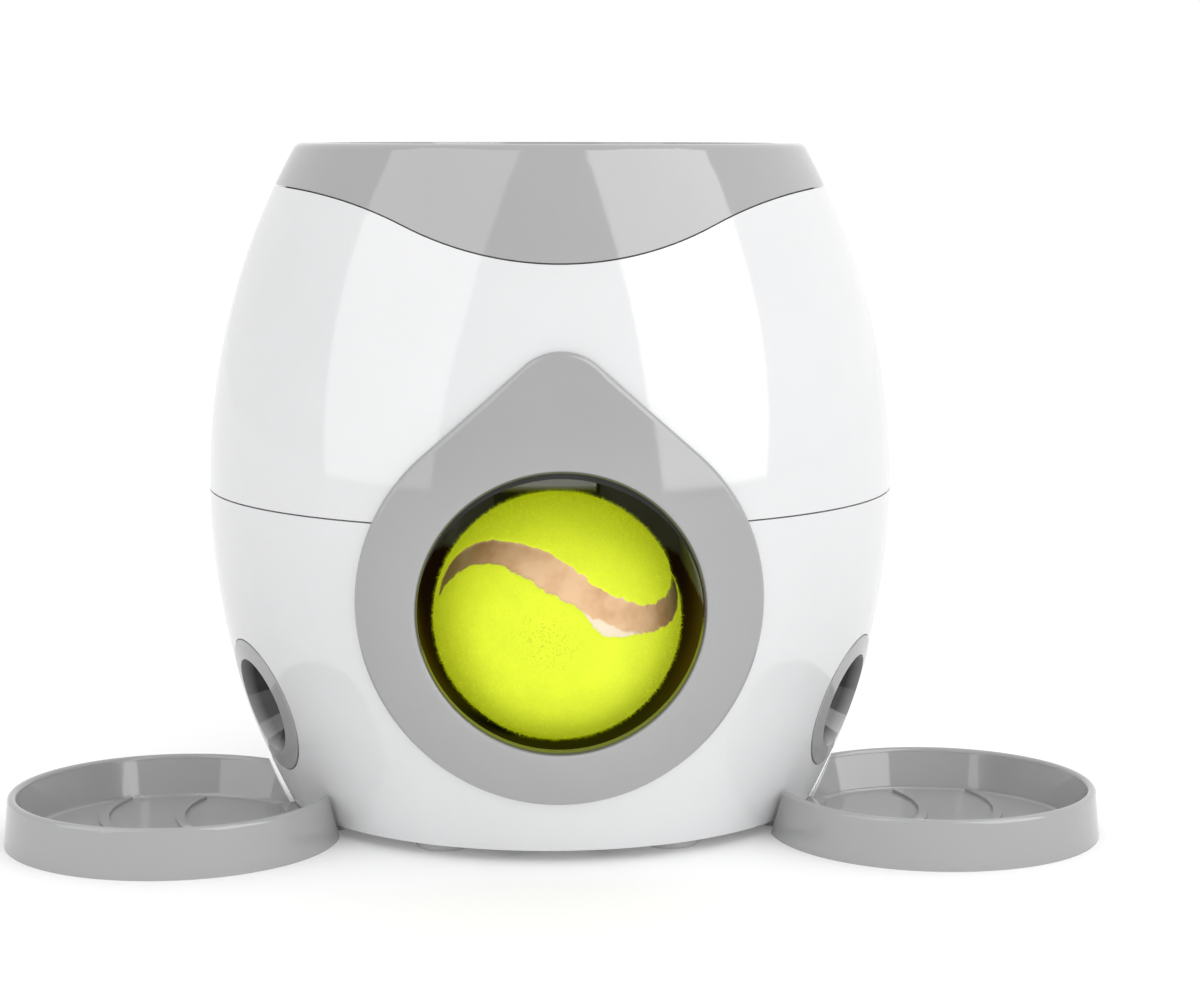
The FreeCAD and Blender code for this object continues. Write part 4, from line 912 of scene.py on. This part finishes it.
def set_out_tree():
    """Copies of one piece on the points of a mesh, each turned by its own random angle."""
    inputs = {"Piece": ("Object", None), "Tip Over": ("Float", 0.0),
              "Random Turn": ("Float", 1.5), "Seed": ("Int", 3), "Finish": ("Material", None)}
    tree, start, end = geometry_tree("set_out_copies", inputs)
    piece = add_node(tree, "GeometryNodeObjectInfo", {"Object": start["Piece"]},
                     transform_space="ORIGINAL")
    turn = add_node(tree, "FunctionNodeRandomValue",
                    {2: 0.0, 3: start["Random Turn"], "Seed": start["Seed"]}, data_type="FLOAT")
    euler = add_node(tree, "ShaderNodeCombineXYZ", {"X": start["Tip Over"], "Z": turn.outputs[1]})
    points = add_node(tree, "GeometryNodeMeshToPoints", {"Mesh": start["Geometry"]})
    placed = add_node(tree, "GeometryNodeInstanceOnPoints", {
        "Points": points.outputs[0], "Instance": piece.outputs["Geometry"],
        "Rotation": euler.outputs[0]})
    tree.links.new(real_geometry(tree, placed.outputs[0], start["Finish"]), end)
    return tree


set_out = set_out_tree()


def dress_group(name, node, finish, shape_of_height):
    """Replace a node of turned solids with detailed copies at the same places."""
    places, head_up, height = places_of(node)
    pattern = add_object("pattern_piece", shape_of_height(height))
    points = bpy.data.meshes.new("places")
    points.from_pydata(places, [], [])
    values = {"Piece": pattern, "Tip Over": math.pi if head_up else 0.0, "Finish": finish}
    group = grow(name, points, set_out, values, finish)
    bpy.data.objects.remove(pattern)
    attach(group, "housing")
    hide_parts(node)
    print(node, "copies:", len(places), "heads up:", head_up)


# %% Screws
for kind in ("base", "ramp", "deck", "shell", "housing"):
    dress_group("cross_head_" + kind + "_screws", kind + "_screws", zinc_steel,
                screw_mesh)

# %% Feet
dress_group("grip_ring_feet", "rubber_feet", foot_rubber, foot_mesh)

# %% [markdown]
# Studio
#
# White plastic on a white ground only reads by what it mirrors. Two tall soft boxes stand
# left and right of the camera; the barrel bends their reflections into the bright upright
# bands on the upper shell, and their lower edges end just above the seam. Both are tipped
# forward by 30 degrees, which sets the bands' slant on the curved side, and they only make
# mirror images: the soft shading comes from a pale sky that is a little brighter on the right
# and a weak fill high in front. A narrow lamp low in front lights the ball in its mouth, as a
# product photographer's reflector card does. The floor is a plain pale sheet, and it is wide
# enough to have no edge in view.

# %% Lamps
LAMP_DISTANCE = 1.6
LAMP_LOW = 0.045               # height of a lamp's lower edge
LAMP_LENGTH = 1.85
LAMP_TIP = math.radians(30.0)  # leaning over the toy


def soft_box(name, azimuth, facing, width, power):
    """Panel lamp with its lower edge at one azimuth from the front, turned to face another."""
    place, turn = math.radians(azimuth), math.radians(facing)
    lamp = bpy.data.lights.new(name, "AREA")
    lamp.shape = "RECTANGLE"
    lamp.size = width
    lamp.size_y = LAMP_LENGTH
    lamp.energy = power
    panel = add_object(name, lamp)
    outwards = Vector((math.sin(turn), -math.cos(turn), 0.0))
    across = Vector((math.cos(turn), math.sin(turn), 0.0))
    upwards = Vector((0.0, 0.0, math.cos(LAMP_TIP))) - outwards * math.sin(LAMP_TIP)
    panel.matrix_world = Matrix((across, upwards, across.cross(upwards))).transposed().to_4x4()
    lower_edge = Vector((math.sin(place) * LAMP_DISTANCE, -math.cos(place) * LAMP_DISTANCE,
                         LAMP_LOW))
    panel.matrix_world.translation = lower_edge + upwards * LAMP_LENGTH / 2
    panel.visible_camera = False
    panel.visible_diffuse = False


def aimed_lamp(name, kind, place, target, power):
    """Lamp that looks at a target and shows in no reflection."""
    lamp = bpy.data.lights.new(name, kind)
    lamp.energy = power
    holder = add_object(name, lamp)
    aim = Vector(target) - Vector(place)
    holder.matrix_world = aim.to_track_quat("-Z", "Y").to_matrix().to_4x4()
    holder.matrix_world.translation = place
    holder.visible_camera = False
    holder.visible_glossy = False
    return lamp


soft_box("left_soft_box", azimuth=-58.3, facing=-60.2, width=1.15, power=11.0)
soft_box("right_soft_box", azimuth=52.4, facing=48.0, width=1.12, power=21.0)
fill = aimed_lamp("high_fill", "AREA", (0.32, -1.18, 1.10), (0.0, 0.0, 0.10), power=2.4)
fill.size = 0.9
mouth_lamp = aimed_lamp("mouth_lamp", "SPOT", (-0.09, -0.98, 0.010), (0.0, -0.09, 0.062), power=8.2)
mouth_lamp.spot_size = math.radians(5.3)
mouth_lamp.spot_blend = 0.25
mouth_lamp.shadow_soft_size = 0.02

# %% Sky and floor
FLOOR_REACH = 30.0
FLOOR_GLOW = 0.08              # a little light of its own, as of a sheet lit from behind
WHITE = (1.0, 1.0, 1.0, 1.0)


def pale_sky(left, right):
    """Even sky whose brightness goes from one value at the toy's left to another at its right."""
    world = bpy.data.worlds.new("pale_sky")
    bpy.context.scene.world = world
    world.use_nodes = True
    tree = world.node_tree
    way = add_node(tree, "ShaderNodeTexCoord").outputs["Generated"]
    across = add_node(tree, "ShaderNodeSeparateXYZ", {0: way}).outputs["X"]
    set_sockets(tree, tree.nodes["Background"], {
        "Color": WHITE, "Strength": map_range(tree, across, -1.0, 1.0, left, right)})


def pale_floor():
    mesh = bpy.data.meshes.new("studio_floor")
    corners = [(across * FLOOR_REACH, along * FLOOR_REACH, 0.0)
               for across, along in ((-1, -1), (1, -1), (1, 1), (-1, 1))]
    mesh.from_pydata(corners, [], [(0, 1, 2, 3)])
    floor = add_object("studio_floor", mesh)
    material, tree, shader, place = new_material("pale_sheet")
    clouds = noise(tree, place, scale=3.0)
    set_sockets(tree, shader, {
        "Base Color": ramp(tree, clouds, (0.93, 0.93, 0.93), (0.95, 0.95, 0.95)),
        "Emission Color": WHITE,
        "Emission Strength": FLOOR_GLOW,
        "Roughness": 0.9})
    mesh.materials.append(material)


pale_sky(left=0.86, right=1.20)
pale_floor()
bpy.context.scene.view_settings.view_transform = "Standard"
bpy.context.scene.view_settings.look = "None"
print("sky and floor ready")
